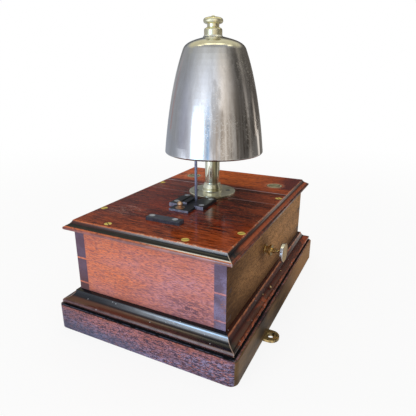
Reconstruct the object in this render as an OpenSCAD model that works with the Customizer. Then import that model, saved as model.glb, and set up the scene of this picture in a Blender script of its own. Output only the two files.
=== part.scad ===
// Railway block bell: a single-stroke electric bell on a polished mahogany case.
// All sizes in millimetres. X runs along the front of the case, Y towards its back,
// Z up; the origin is on the table, under the middle of the case.

/* [Case] */
// Width of the case over its walls
case_w = 180; // [172:1:210]
// Depth of the case over its walls
case_d = 276; // [268:1:300]
// Height of the walls between base and lid
wall_h = 89.6; // [84:0.1:110]
// Thickness of the wall boards
wall_t = 12.5; // [11:0.5:16]
// Number of narrow pins in each corner joint
pin_count = 2; // [1:1:4]
// Width of a pin where it shows on the front
pin_w = 1.8; // [1.2:0.1:4]
// Distance of the middle pins below even spacing
pin_drop = 4.4; // [0:0.1:6]
// Run of the pin's sloping cheek for each unit of width
pin_slope = 6; // [5:0.5:8]
// Radius of the line-wire hole in the back wall
wire_hole_r = 6; // [5:0.5:9]
// Height of the line-wire hole above the base
wire_hole_h = 32; // [28:1:45]

/* [Base] */
// Thickness of the base board
base_t = 28.5; // [26:0.5:36]
// Overhang of the base board beyond the walls
base_overhang = 19; // [18:0.1:26]
// Radius of the base board's upright corners
base_corner_r = 8.5; // [3:0.5:11]
// Width of the broken edge along the base board's top
base_bevel_w = 0.8; // [0.4:0.1:2]
// Height of that edge
base_bevel_h = 0.8; // [0.4:0.1:2]

/* [Plinth moulding] */
// Reach of the moulding's lip from the wall
plinth_w = 15; // [13.5:0.1:16.5]
// Height of the moulding
plinth_h = 16.3; // [14.5:0.1:20]
// Reach of the nearly flat fillet at the top of the moulding
plinth_fillet = 3.8; // [2.6:0.1:5]
// Height of the lip's top
plinth_lip_h = 6.4; // [5:0.1:8]
// Height of the recess under the lip
plinth_quirk_h = 1.8; // [1:0.1:2.6]

/* [Lid] */
// Thickness of the lid boards
lid_t = 9.8; // [8.5:0.1:14]
// Overhang of the lid's lip beyond the walls
lid_overhang = 8.5; // [7.6:0.1:14]
// Reach of the blackened cove round the lid's edge
lid_cove_w = 6.3; // [4.6:0.1:6.8]
// Height of the lip under the cove
lid_lip_h = 3.1; // [2.4:0.1:4.4]
// Depth of the front board over the case
front_board_d = 145; // [130:1:150]
// Depth of the middle strip
middle_board_d = 45; // [38:1:50]
// Open joint between two boards
board_gap = 0.3; // [0.1:0.05:0.6]
// Length of the slot for the hammer rod, beyond its swing
rod_slot_spare = 2; // [1.2:0.1:4]

/* [Bell] */
// Distance of the bell's axis behind the middle of the case
bell_y = 19; // [15:1:25]
// Distance of the bell's shell to the right of the hole it hangs by
bell_x = 2; // [0:0.1:2]
// Radius of the mouth
bell_rim_r = 61.5; // [59:0.5:66]
// Height of the bell from mouth to crown
bell_h = 134; // [120:1:150]
// Height of the mouth above the lid
bell_lift = 54.1; // [48:0.1:70]
// Thickness of the bell metal
bell_wall = 3.2; // [2.4:0.1:4.5]
// Radius at the shoulder
bell_shoulder_r = 37; // [32:0.5:40]
// Fall from the crown to the shoulder
bell_shoulder_drop = 13.2; // [11:0.1:17]
// Lean of the flank at the shoulder, in degrees
bell_lean = 21.4; // [18:0.1:26]
// Radius of the flat crown
bell_crown_r = 11; // [10:0.1:13]

/* [Post and nut] */
// Radius of the post's flange
flange_r = 30.1; // [26:0.1:32]
// Thickness of the flange
flange_t = 3.5; // [2.4:0.1:5]
// Radius of the post
post_r = 9.3; // [7:0.1:10]
// Radius of the collar at the post's foot
collar_r = 12.5; // [11:0.1:14]
// Height of the collar
collar_h = 10; // [6:0.5:16]
// Radius of the screwed stud that holds the bell
stud_r = 3.1; // [2.5:0.1:4]
// Radius of the thumb nut's disc
nut_disc_r = 11.5; // [9:0.1:14]
// Radius of the thumb nut's collar
nut_collar_r = 10.6; // [8.5:0.1:10.9]
// Radius of the thumb nut's neck
nut_neck_r = 7; // [5.5:0.1:8]
// Height of the thumb nut
nut_h = 18.6; // [16:0.1:24]

/* [Hammer] */
// Radius of the hammer rod
rod_r = 1.65; // [1.3:0.05:2]
// Length of the hammer head
head_l = 12; // [9:0.5:14]
// Radius of the hammer head
head_r = 6; // [4.5:0.5:8]
// Height of the hammer head above the bell's mouth
head_up = 18; // [12:1:26]
// Travel of the head from rest to the bell metal
strike_gap = 4.6; // [3:0.1:5.2]
// Room that is left between head and bell at full stroke
strike_rest = 0.4; // [0.2:0.05:0.8]
// Height of the hammer pivot above the base
pivot_h = 14; // [12:0.5:16]
// Radius of the pivot pin
pivot_pin_r = 1.5; // [1.2:0.1:2]

/* [Magnet] */
// Height of the coils above the base
coil_h = 40; // [36:1:44]
// Radius of a coil's end cheeks
cheek_r = 16; // [13:0.5:18]
// Thickness of an end cheek
cheek_t = 2.5; // [1.5:0.1:4]
// Depth of the winding below the cheek's edge
winding_inset = 1.5; // [0.5:0.1:3]
// Length of a coil
coil_l = 52; // [40:1:58]
// Distance of a core from the middle of the case
core_x = 20; // [18.6:0.2:23]
// Radius of an iron core
core_r = 6; // [4.5:0.5:7]
// Gap between armature and cores at rest
air_gap = 1.2; // [1.1:0.05:2]
// Thickness of the armature
armature_t = 5; // [4:0.5:7]
// Height of the armature
armature_h = 18; // [15:1:20]

/* [Tapper] */
// Place of the plunger along the right wall
tapper_y = -28; // [-36:1:-20]
// Height of the plunger above the base
tapper_h = 56.5; // [52:0.5:62]
// Travel of the plunger
tapper_travel = 5; // [3:0.5:6]
// Radius of the plunger's rod
tapper_rod_r = 1.7; // [1.4:0.1:2.2]
// Radius of the plunger's finger disc
tapper_disc_r = 10.75; // [8:0.25:14]
// Thickness of the finger disc
tapper_disc_t = 4.6; // [3:0.1:6]
// Reach of the bush from the wall
bush_reach = 13; // [11:0.5:18]

/* [Top fittings] */
// Width of the slide plate
slide_w = 25.1; // [23:0.1:27]
// Thickness of the slide plate
slide_t = 2.6; // [2.2:0.1:3.4]
// Length of the slide plate ahead of the hammer rod
slide_front = 40.6; // [38:0.1:46]
// Height of the guide rails
rail_h = 4.6; // [4.5:0.1:8]
// Length of the guide rails
rail_l = 39; // [34:1:42]
// Distance from the slide plate to the stop bar
slide_run = 26.5; // [20:0.5:30]
// Length of the stop bar
bar_l = 41; // [36:1:54]
// Width of the stop bar
bar_w = 10.2; // [9.4:0.1:14]
// Height of the stop bar
bar_h = 4.2; // [3.5:0.1:6]

/* [Fixings] */
// Radius of a lid screw's head
lid_head_r = 4; // [3.2:0.1:4.6]
// Radius of the brass cups in the back board
cup_r = 10; // [9.5:0.5:12]
// Radius of a fixing lug's rounded end
lug_r = 9.6; // [8:0.1:12]
// Thickness of a fixing lug
lug_t = 3; // [2.4:0.1:5]
// Distance of a lug's screw hole from the base board
lug_hole_out = 6; // [5.4:0.1:12]
// Radius of a lug's screw hole
lug_hole_r = 2.75; // [2:0.05:3.5]
// Place of the lugs along the sides
lug_y = -70; // [-90:1:-20]

/* [Hidden] */

$fn = 64;
eps = 0.01;
fit = 0.05;
running = 0.05;
slide_gap = 0.1;

half_w = case_w / 2;
half_d = case_d / 2;
base_w = case_w + 2 * base_overhang;
base_d = case_d + 2 * base_overhang;
base_top = base_t;
wall_top = base_top + wall_h;
lid_top = wall_top + lid_t;
inner_x = half_w - wall_t;
inner_y = half_d - wall_t;
joint_front_y = -half_d + front_board_d;
joint_back_y = joint_front_y + middle_board_d;

// Bell heights
rim_z = lid_top + bell_lift;
crown_z = rim_z + bell_h;
shoulder_z = crown_z - bell_shoulder_drop;
head_z = rim_z + head_up;

// Outline of the bell, mouth to crown, as two smooth curves that meet at the shoulder
lean_dir = [-sin(bell_lean), cos(bell_lean)];
shoulder_point = [bell_shoulder_r, shoulder_z];
flank_h = shoulder_z - rim_z;
shoulder_w = bell_shoulder_r - bell_crown_r;
bell_flank = bezier(
    [bell_rim_r, rim_z],
    [bell_rim_r - 0.028 * flank_h, rim_z + 0.292 * flank_h],
    shoulder_point - 0.313 * flank_h * lean_dir,
    shoulder_point, 18);
bell_cap = bezier(
    shoulder_point,
    shoulder_point + 0.3 * shoulder_w * lean_dir,
    [bell_crown_r + 0.517 * shoulder_w, crown_z - 0.247 * bell_shoulder_drop],
    [bell_crown_r, crown_z], 14);
bell_outer = concat(bell_flank, [for (i = [1 : len(bell_cap) - 1]) bell_cap[i]]);
bell_inner = inset(bell_outer, bell_wall);
bell_inner_table = [for (p = bell_inner) [p[1], p[0]]];
crown_inner_z = bell_inner[len(bell_inner) - 1][1];

// Post, washer and nut stand on each other
washer_t = 1.5;
washer_r = 8;
post_shoulder_z = crown_inner_z - washer_t;
crown_washer_t = 1.6;
nut_z = crown_z + crown_washer_t;
stud_tip_z = nut_z + nut_h + 2.6;
spigot_r = 6;
post_nut_r = 10;
post_nut_t = 7;
spigot_end_z = wall_top - post_nut_t - 3;

// The rod stands where the upper edge of the head's face comes to the bell wall at the end of its travel
head_edge = 1.5;
hammer_y = bell_y - lookup(head_z + head_r - head_edge, bell_inner_table) + strike_gap + head_l / 2;
pivot_z = base_top + pivot_h;
swing = asin((strike_gap - strike_rest) / (head_z - pivot_z));
swing_at_lid = (lid_top + slide_t - pivot_z) * sin(swing);
rod_top_z = head_z + head_r + 1.5;

lever_t = 4;
lever_w = 18;
lever_boss_r = 4;
lever_boss_l = 12;
barrel_r = 4.5;
ear_inside = 13;
ear_t = 4;
ear_r = 6.5;
armature_w = 2 * (core_x + core_r + 4);
armature_rear_y = hammer_y - lever_t / 2;
pole_y = armature_rear_y - armature_t - air_gap;
coil_z = base_top + coil_h;
armature_top_z = coil_z + armature_h / 2;
lever_boss_z = armature_top_z + 3;
lever_top_z = lever_boss_z + lever_boss_l;
pole_stand = 3.3;
bobbin_y = pole_y - pole_stand;
yoke_y = bobbin_y - coil_l;
yoke_t = 8;
yoke_w = 2 * (core_x + core_r + 6);
yoke_top_z = coil_z + core_r + 6;
magnet_foot_l = 24;
magnet_foot_t = 6;
magnet_foot_w = 48;
magnet_screw_x = 15;

bracket_t = 3;
bracket_w = 44;
bracket_front_y = hammer_y - 18;
pillar_y = hammer_y + 24;
pillar_t = 6;
pillar_w = 10;
bracket_rear_y = pillar_y + pillar_t + 8;
stop_z = lever_boss_z + lever_boss_l / 2;
stop_r = 2;
stop_tip_y = hammer_y + lever_boss_r + 0.1;
locknut_t = 3;
stop_head_t = 4;
stop_head_r = 5;
pillar_top_z = stop_z + 5;
spring_z = min(pivot_z + 12, coil_z - armature_h / 2 - 3);
spring_r = 2.6;
spring_wire_r = 0.4;

// Tapper: bush through the right wall, plunger through the bush
tapper_z = base_top + tapper_h;
bush_r = 4.2;
bush_flange_r = 5.5;
bush_flange_t = 1.5;
bush_ring_r = 6.5;
bush_ring_t = 2.5;
bush_nose_r = 2.8;
bush_nose_l = 4.5;
bush_end_x = inner_x - 1.5;
nose_x = half_w + bush_reach;
disc_x = nose_x + tapper_travel + 1.5;
hub_l = 1.3;
contact_screw_inset = 8;
anvil_screw_inset = 5;
plunger_collar_l = 4.9;
plunger_collar_r = 4;
tip_x = inner_x - 18.9;
blade_gap = 0.3;
blade_t = 0.6;
blade_w = 10;
blade_x = tip_x - blade_gap - blade_t;
contact_gap = tapper_travel - 0.6;
anvil_t = 1;
anvil_stud_l = 1.3;
anvil_x = blade_x - contact_gap - anvil_stud_l - anvil_t;
block_h = 12;
block_d = 28;
block_left_x = anvil_x - 12;
block_right_x = blade_x + 15;
foot_l = 12;
contact_top_z = tapper_z + 6;

// Terminals stand on a block behind the movement
terminal_block_d = 20;
terminal_block_h = 10;
terminal_block_w = 112;
terminal_block_y = inner_y - 26.5;
terminal_count = 4;
terminal_end = 14;
terminal_pitch = (terminal_block_w - 2 * terminal_end) / (terminal_count - 1);
terminal_stud_l = 18;
lead_r = 0.9;

// Slide plate and rails, placed round the hammer rod
slide_left = -13.8;
slide_right = slide_left + slide_w;
slide_rear_y = hammer_y + 9.5;
slide_front_y = hammer_y - slide_front;
slide_z = lid_top + slide_gap;
fork_w = 4.4;
rail_w = 10.5;
rail_wider = 1.3;
rail_lap_left = 2.6;
rail_lap_right = 1.6;
rail_rear_y = hammer_y + 12;
rail_right_back = 0.4;
rail_shorter = 2.6;
rail_lower = 0.6;
rail_screw_in = 4.6;
rib_w = 6;
rib_l = 24;
rib_h = 2.2;
rib_x = -2.2 - rib_w;
rib_y = hammer_y - 19.6;
knob_x = -3;
knob_y = slide_front_y + 7.1;
knob_r = 3.4;
knob_foot_r = 5.4;
bar_x = 0.6;
bar_rear_y = slide_front_y - slide_run - 0.5;
bar_bevel = 0.6;
bar_screw_shift = -1.7;
bar_screw_x = 14.2;
bar_screw_in = 4.2;
fitting_head_r = 3.2;
fitting_shank_r = 1.6;
fitting_length = 12;

// Wood screws
lid_shank_r = 1.9;
lid_screw_l = 26;
lid_screw_front_x = 46.1;
lid_screw_front_shift = -2.4;
lid_screw_front_inset = 7;
lid_screw_side_inset = 4.4;
lid_screw_side_y = -half_d + 45;
cover_x = inner_x - 14;
cover_y = (joint_back_y + half_d) / 2 - 8;
cup_t = 2.6;
cover_head_r = 7.5;
cover_shank_r = 2.5;
cover_screw_l = 24;
cover_block_w = 24;
cover_block_d = 24;
cover_block_h = 26;
base_head_r = 4.5;
base_shank_r = 2.2;
base_screw_l = base_t + 18;
base_screw_x = half_w - 40;
base_screw_y = half_d - 33;
lug_shank_r = 1.6;
lug_head_r = 3;
lug_screw_l = 14;
lug_inside = 22;
small_head_r = 3;
small_head_h = 2;
small_shank_r = 1.5;
small_screw_l = 12;
block_screw_l = 20;
slot_w = 0.9;

function arc(centre, r, from, to, n = 8) =
    [for (i = [0 : n]) let (a = from + (to - from) * i / n) centre + r * [cos(a), sin(a)]];
function bezier(a, b, c, d, n) =
    [for (i = [0 : n]) let (t = i / n, s = 1 - t)
        s * s * s * a + 3 * s * s * t * b + 3 * s * t * t * c + t * t * t * d];
function inset(points, w) =
    [for (i = [0 : len(points) - 1])
        let (d = points[min(i + 1, len(points) - 1)] - points[max(i - 1, 0)], u = d / norm(d))
        points[i] + w * [-u[1], u[0]]];
function mirrored(points) = [for (i = [len(points) - 1 : -1 : 0]) [-points[i][0], points[i][1]]];
function unit(v) = v / norm(v);
function spline_at(p, i, t) =
    let (a = p[max(i - 1, 0)], b = p[i], c = p[i + 1], d = p[min(i + 2, len(p) - 1)])
    0.5 * (2 * b + (c - a) * t + (2 * a - 5 * b + 4 * c - d) * t * t + (3 * b - a - 3 * c + d) * t * t * t);
function spline(p, n) =
    concat([for (i = [0 : len(p) - 2], k = [0 : n - 1]) spline_at(p, i, k / n)], [p[len(p) - 1]]);

// Extrusions of a drawing in the Y-Z plane along X, and of one in the X-Z plane along Y
module along_x(from, to) translate([from, 0, 0]) rotate([90, 0, 90]) linear_extrude(to - from) children();
module along_y(from, to) translate([0, to, 0]) rotate([90, 0, 0]) linear_extrude(to - from) children();
module rod_x(r, from, to) translate([from, 0, 0]) rotate([0, 90, 0]) cylinder(r = r, h = to - from);
module rod_y(r, from, to) translate([0, to, 0]) rotate([90, 0, 0]) cylinder(r = r, h = to - from);
module both_sides() {
    children();
    mirror([1, 0, 0]) children();
}

// Countersunk screw, its slotted head flush with z = 0 and its shank below
module countersunk(head, shank, length, slot_angle = 0) {
    head_h = head - shank;
    difference() {
        union() {
            translate([0, 0, -head_h]) cylinder(r1 = shank, r2 = head, h = head_h);
            translate([0, 0, -length]) cylinder(r = shank, h = length - head_h);
        }
        rotate([0, 0, slot_angle]) cube([2 * head + 1, slot_w, 0.5 * head_h], center = true);
    }
}
module countersink(head, shank, length) {
    head_h = head - shank;
    translate([0, 0, -head_h]) cylinder(r1 = shank + fit, r2 = head + fit, h = head_h);
    translate([0, 0, -eps]) cylinder(r = head + fit, h = 1);
    translate([0, 0, -length - fit]) cylinder(r = shank + fit, h = length);
}
// Cheese-headed screw that stands on z = 0 with its shank below
module cheese_screw(slot_angle = 0, length = small_screw_l) {
    difference() {
        union() {
            cylinder(r = small_head_r, h = small_head_h);
            translate([0, 0, -length]) cylinder(r = small_shank_r, h = length + eps);
        }
        translate([0, 0, small_head_h]) rotate([0, 0, slot_angle])
            cube([2 * small_head_r + 1, slot_w, 1.4], center = true);
    }
}
module cheese_hole(length = small_screw_l)
    translate([0, 0, -length - fit]) cylinder(r = small_shank_r + fit, h = length + 10);

// Places of the screws, as [x, y] or [x, y, turn of the slot]
lid_screw_places = [
    for (s = [-1, 1]) [lid_screw_front_shift + s * lid_screw_front_x, -half_d + lid_screw_front_inset, 35 * s],
    for (s = [-1, 1]) [s * (half_w - lid_screw_side_inset), lid_screw_side_y, 20 + 30 * s],
    for (s = [-1, 1]) [s * (half_w - lid_screw_side_inset), joint_front_y + 26, -50 * s]
];
base_screw_places = [
    for (s = [-1, 1], y = [-base_screw_y, 0, base_screw_y]) [s * (half_w - wall_t / 2), y],
    for (x = [-base_screw_x, base_screw_x], s = [-1, 1]) [x, s * (half_d - wall_t / 2)]
];
flange_screw_r = 20.4;
flange_screw_angles = [25, 205];
rail_left_x = slide_left + rail_lap_left - rail_w;
rail_right_x = slide_right - rail_lap_right;
fitting_screw_places = [
    [rail_left_x + rail_w / 2, rail_rear_y - rail_screw_in, lid_top + rail_h, 10],
    [rail_left_x + rail_w / 2, rail_rear_y - rail_l + 2 * rail_screw_in, lid_top + rail_h, 75],
    [rail_right_x + 6.5, rail_rear_y + rail_right_back - rail_screw_in, lid_top + rail_h - rail_lower, -35],
    [rail_right_x + 6.5, rail_rear_y - rail_l + 2 * rail_screw_in, lid_top + rail_h - rail_lower, 5],
    [bar_x + bar_screw_shift - bar_screw_x, bar_rear_y - bar_screw_in, lid_top + bar_h, 60],
    [bar_x + bar_screw_shift + bar_screw_x, bar_rear_y - bar_screw_in, lid_top + bar_h, -15]
];
contact_screw_places = [[blade_x + contact_screw_inset, tapper_y], [anvil_x - anvil_screw_inset, tapper_y]];
contact_block_screw_places = [for (s = [-1, 1]) [(blade_x + anvil_x) / 2, tapper_y + s * (block_d / 2 - 3.4)]];
bracket_screw_places = [
    for (x = [-1, 1], y = [bracket_front_y + 5, bracket_rear_y - 5]) [x * (bracket_w / 2 - 5), y]
];
magnet_screw_places = [for (s = [-1, 1]) [s * magnet_screw_x, yoke_y + magnet_foot_l - 6]];
terminal_block_screw_places = [
    for (s = [-1, 1]) [s * (terminal_block_w / 2 - 4.5), terminal_block_y + terminal_block_d / 2]
];

// Base
module base_board() {
    color([0.36, 0.15, 0.10])
    difference() {
        intersection() {
            linear_extrude(base_t) union() {
                square([base_w - 2 * base_corner_r, base_d], center = true);
                square([base_w, base_d - 2 * base_corner_r], center = true);
                for (x = [-1, 1], y = [-1, 1])
                    translate([x * (base_w / 2 - base_corner_r), y * (base_d / 2 - base_corner_r)]) circle(base_corner_r);
            }
            along_y(-base_d, base_d) polygon(bevelled_section(base_w / 2));
            along_x(-base_w, base_w) polygon(bevelled_section(base_d / 2));
        }
        for (p = base_screw_places) translate([p[0], p[1], 0]) mirror([0, 0, 1]) countersink(base_head_r, base_shank_r, base_screw_l);
        both_sides() lug_pocket();
        for (p = bracket_screw_places) translate([p[0], p[1], base_top + bracket_t]) cheese_hole();
        for (p = magnet_screw_places) translate([p[0], p[1], base_top + magnet_foot_t]) cheese_hole();
        block_screw_holes();
    }
}
function bevelled_section(half) = [
    [-half, -1], [half, -1], [half, base_t - base_bevel_h], [half - base_bevel_w, base_t],
    [-half + base_bevel_w, base_t], [-half, base_t - base_bevel_h]
];
module block_screw_holes() {
    for (p = contact_block_screw_places) translate([p[0], p[1], base_top + block_h]) cheese_hole(block_screw_l);
    for (p = terminal_block_screw_places) translate([p[0], p[1], base_top + terminal_block_h]) cheese_hole(block_screw_l);
}
module lug_pocket() {
    translate([base_w / 2 - lug_inside, lug_y - lug_r, -1]) cube([lug_inside + 1, 2 * lug_r, lug_t + 1]);
    for (y = [-1, 1]) translate([base_w / 2 - lug_inside / 2, lug_y + y * lug_r / 2, 0])
        mirror([0, 0, 1]) countersink(lug_head_r, lug_shank_r, lug_screw_l);
}
module base_screws() {
    color("darkgoldenrod")
    for (p = base_screw_places) translate([p[0], p[1], 0]) mirror([0, 0, 1])
        countersunk(base_head_r, base_shank_r, base_screw_l, 10 * p[0]);
}

// Plinth moulding: fillet, hollow cove, rounded lip and the recess under it, mitred at the corners
arris = [plinth_fillet + 0.1, plinth_h - 1.6];
lip_start = [plinth_w - 1.2, plinth_lip_h];
lip_nose = [plinth_w, (plinth_lip_h + plinth_quirk_h) / 2];
cove_w = lip_start[0] - arris[0];
cove_h = arris[1] - plinth_lip_h;
plinth_outline = concat(
    [[0, 0], [0, plinth_h], [plinth_fillet, plinth_h - 1.2]],
    bezier(arris, arris + [0.07 * cove_w, -0.42 * cove_h], lip_start + [-0.59 * cove_w, 0.07 * cove_h], lip_start, 10),
    bezier(lip_start, lip_start + [0.8, -0.1], lip_nose + [0, 1.2], lip_nose, 4),
    bezier(lip_nose, lip_nose - [0, 1.2], [plinth_w - 0.4, plinth_quirk_h + 0.1], [plinth_w - 1.2, plinth_quirk_h], 4),
    [[plinth_w - 1.8, plinth_quirk_h], [plinth_w - 1.8, 0]]
);
module plinth_stick(length) {
    intersection() {
        along_x(-length / 2 - plinth_w, length / 2 + plinth_w)
            polygon([for (p = plinth_outline) [-p[0], p[1]]]);
        translate([0, 0, -1]) linear_extrude(plinth_h + 2) polygon([
            [-length / 2, 0], [length / 2, 0],
            [length / 2 + plinth_w, -plinth_w], [-length / 2 - plinth_w, -plinth_w]
        ]);
    }
}
module plinth_front() color([0.12, 0.07, 0.07]) translate([0, -half_d, base_top]) plinth_stick(case_w);
module plinth_back() color([0.12, 0.07, 0.07]) translate([0, half_d, base_top]) rotate([0, 0, 180]) plinth_stick(case_w);
module plinth_right() color([0.12, 0.07, 0.07]) translate([half_w, 0, base_top]) rotate([0, 0, 90]) plinth_stick(case_d);
module plinth_left() color([0.12, 0.07, 0.07]) translate([-half_w, 0, base_top]) rotate([0, 0, -90]) plinth_stick(case_d);

// Case walls, joined at the corners by narrow dovetail pins between wide tails.
// The pins belong to the front and back boards; a half pin closes each joint top and bottom.
function pin_middles() = [for (i = [0 : pin_count + 1])
    base_top + wall_h * i / (pin_count + 1) - (i > 0 && i <= pin_count ? pin_drop : 0)];
module pin_sections() {
    spread = wall_t / pin_slope;
    intersection() {
        union() for (z = pin_middles()) polygon([
            [-half_d, z - pin_w / 2], [-half_d, z + pin_w / 2],
            [-inner_y, z + pin_w / 2 + spread], [-inner_y, z - pin_w / 2 - spread]
        ]);
        translate([-half_d, base_top]) square([wall_t, wall_h]);
    }
}
module pin_board() {
    translate([-inner_x, -half_d, base_top]) cube([2 * inner_x, wall_t, wall_h]);
    both_sides() along_x(inner_x, half_w) pin_sections();
}
module tail_board() {
    difference() {
        translate([inner_x, -half_d, base_top]) cube([wall_t, case_d, wall_h]);
        for (s = [0, 1]) mirror([0, s, 0]) along_x(inner_x - 1, half_w + 1) pin_sections();
        wall_top_holes();
    }
}
module wall_top_holes() {
    for (p = lid_screw_places) translate([p[0], p[1], lid_top]) countersink(lid_head_r, lid_shank_r, lid_screw_l);
    for (p = base_screw_places) translate([p[0], p[1], 0]) mirror([0, 0, 1]) countersink(base_head_r, base_shank_r, base_screw_l);
}
module case_front() color([0.62, 0.25, 0.17]) difference() {
    pin_board();
    wall_top_holes();
}
module case_back() color([0.5, 0.2, 0.13]) difference() {
    mirror([0, 1, 0]) pin_board();
    wall_top_holes();
    translate([0, 0, base_top + wire_hole_h]) rod_y(wire_hole_r, inner_y - 1, half_d + 1);
}
module case_left() color([0.42, 0.27, 0.15]) mirror([1, 0, 0]) tail_board();
module case_right() color([0.42, 0.27, 0.15]) difference() {
    tail_board();
    translate([0, tapper_y, tapper_z]) rod_x(bush_r + fit, inner_x - 1, half_w + 1);
}

// Lid: three boards with one moulded edge run round them all
lid_arris = 0.3;
cove_foot = lid_lip_h + 1.1;
cove_drop = lid_t - lid_arris - cove_foot;
lid_edge = concat(
    [[0, lid_t]],
    bezier([lid_arris, lid_t - lid_arris], [0.19 * lid_cove_w, cove_foot + 0.58 * cove_drop],
        [0.57 * lid_cove_w, cove_foot + 0.17 * cove_drop], [lid_cove_w, cove_foot], 9),
    [[lid_cove_w + 0.2, lid_lip_h + 0.5]],
    bezier([lid_overhang - 0.5, lid_lip_h], [lid_overhang + 0.2, lid_lip_h - 0.2], [lid_overhang + 0.2, 0.4], [lid_overhang - 0.7, 0], 6),
    [[0, 0]]
);
function lid_section(half) = concat([for (p = lid_edge) [half + p[0], p[1]]], mirrored([for (p = lid_edge) [half + p[0], p[1]]]));
module lid_board(from, to) {
    difference() {
        translate([0, 0, wall_top]) intersection() {
            along_y(from, to) polygon(lid_section(half_w));
            along_x(-case_w, case_w) polygon(lid_section(half_d));
        }
        for (p = lid_screw_places) translate([p[0], p[1], lid_top]) countersink(lid_head_r, lid_shank_r, lid_screw_l);
        both_sides() translate([cover_x, cover_y, lid_top]) cover_hole();
        translate([0, bell_y, wall_top - 1]) cylinder(r = spigot_r + fit, h = lid_t + 2);
        rod_slot();
        for (p = fitting_screw_places) translate([p[0], p[1], p[2]]) countersink(fitting_head_r, fitting_shank_r, fitting_length);
        for (a = flange_screw_angles) translate([0, bell_y, lid_top + flange_t]) rotate([0, 0, a])
            translate([flange_screw_r, 0, 0]) countersink(fitting_head_r, fitting_shank_r, fitting_length);
    }
}
module rod_slot() {
    r = fork_w / 2;
    front = hammer_y - rod_r - swing_at_lid - rod_slot_spare + r;
    back = hammer_y + rod_r + rod_slot_spare - r;
    translate([0, 0, wall_top - 1]) {
        translate([0, front, 0]) cylinder(r = r, h = lid_t + 2);
        translate([0, back, 0]) cylinder(r = r, h = lid_t + 2);
        translate([-r, front, 0]) cube([2 * r, back - front, lid_t + 2]);
    }
}
module lid_front() color([0.40, 0.12, 0.07]) lid_board(-case_d, joint_front_y - board_gap / 2);
module lid_middle() color([0.40, 0.12, 0.07]) lid_board(joint_front_y + board_gap / 2, joint_back_y - board_gap / 2);
module lid_back() color([0.55, 0.18, 0.08]) lid_board(joint_back_y + board_gap / 2, case_d);
module lid_screws() {
    color("goldenrod")
    for (p = lid_screw_places) translate([p[0], p[1], lid_top]) countersunk(lid_head_r, lid_shank_r, lid_screw_l, p[2]);
}

// Back board fixing: brass cups let in flush, screws into blocks behind the side walls
module cover_hole() {
    translate([0, 0, -cup_t - fit]) cylinder(r = cup_r + fit, h = cup_t + 1);
    translate([0, 0, -cover_screw_l - fit]) cylinder(r = cover_shank_r + fit, h = cover_screw_l);
}
module cover_cups() {
    color("khaki") both_sides() translate([cover_x, cover_y, lid_top]) difference() {
        translate([0, 0, -cup_t]) cylinder(r = cup_r, h = cup_t);
        translate([0, 0, -1.6]) cylinder(r = cover_head_r + 0.6, h = 2);
        translate([0, 0, -cup_t - 1]) cylinder(r = cover_shank_r + fit, h = cup_t + 2);
    }
}
module cover_screws() {
    color("darkkhaki") both_sides() translate([cover_x, cover_y, lid_top]) difference() {
        union() {
            translate([0, 0, -1.55]) cylinder(r = cover_head_r, h = 1.35);
            translate([0, 0, -cover_screw_l]) cylinder(r = cover_shank_r, h = cover_screw_l - 1);
        }
        rotate([0, 0, 20]) translate([-cover_head_r - 1, -0.8, -0.9]) cube([2 * cover_head_r + 2, 1.6, 2]);
    }
}
module cover_blocks() {
    color("sienna") both_sides() difference() {
        translate([inner_x - cover_block_w, cover_y - cover_block_d / 2, wall_top - cover_block_h])
            cube([cover_block_w, cover_block_d, cover_block_h]);
        translate([cover_x, cover_y, lid_top]) cover_hole();
    }
}

// Fixing lugs, let into the underside of the base on both sides
module fixing_lugs() {
    color("goldenrod") both_sides() {
        hole_x = base_w / 2 + lug_hole_out;
        difference() {
            union() {
                translate([base_w / 2 - lug_inside + fit, lug_y - lug_r + fit, 0])
                    cube([lug_inside + lug_hole_out - fit, 2 * lug_r - 2 * fit, lug_t - fit]);
                translate([hole_x, lug_y, 0]) cylinder(r = lug_r - fit, h = lug_t - fit);
            }
            translate([hole_x, lug_y, -1]) cylinder(r = lug_hole_r, h = lug_t + 2);
            translate([hole_x, lug_y, lug_t / 2]) cylinder(r1 = lug_hole_r, r2 = lug_hole_r + lug_t / 2, h = lug_t / 2);
            for (y = [-1, 1]) translate([base_w / 2 - lug_inside / 2, lug_y + y * lug_r / 2, 0])
                mirror([0, 0, 1]) countersink(lug_head_r, lug_shank_r, lug_screw_l);
        }
    }
}
module lug_screws() {
    color("goldenrod") both_sides() for (y = [-1, 1])
        translate([base_w / 2 - lug_inside / 2, lug_y + y * lug_r / 2, 0])
            mirror([0, 0, 1]) countersunk(lug_head_r, lug_shank_r, lug_screw_l, 40 * y);
}

// Post, turned from one bar: spigot, flange, collar, column and stud
module bell_post() {
    edge = 0.8;
    column_foot = lid_top + flange_t + collar_h;
    collar_top_r = post_r + 0.4 * (collar_r - post_r);
    color("darkkhaki") translate([0, bell_y, 0]) difference() {
        rotate_extrude() polygon(concat(
            [[0, spigot_end_z], [spigot_r, spigot_end_z], [spigot_r, lid_top]],
            arc([flange_r - edge, lid_top + edge], edge, -90, 0, 3),
            arc([flange_r - edge, lid_top + flange_t - edge], edge, 0, 90, 4),
            arc([collar_r + 1.6, lid_top + flange_t + 1.6], 1.6, 270, 180, 4),
            [[collar_r, column_foot - collar_h / 2], [collar_top_r, column_foot - 0.5], [collar_top_r - 0.4, column_foot]],
            [[post_r + 0.2, column_foot + 0.2], [post_r, column_foot + 1], [post_r, post_shoulder_z], [stud_r, post_shoulder_z]],
            arc([0, stud_tip_z - stud_r], stud_r, 0, 90, 5)
        ));
        for (a = flange_screw_angles) rotate([0, 0, a]) translate([flange_screw_r, 0, lid_top + flange_t])
            countersink(fitting_head_r, fitting_shank_r, fitting_length);
    }
}
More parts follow.
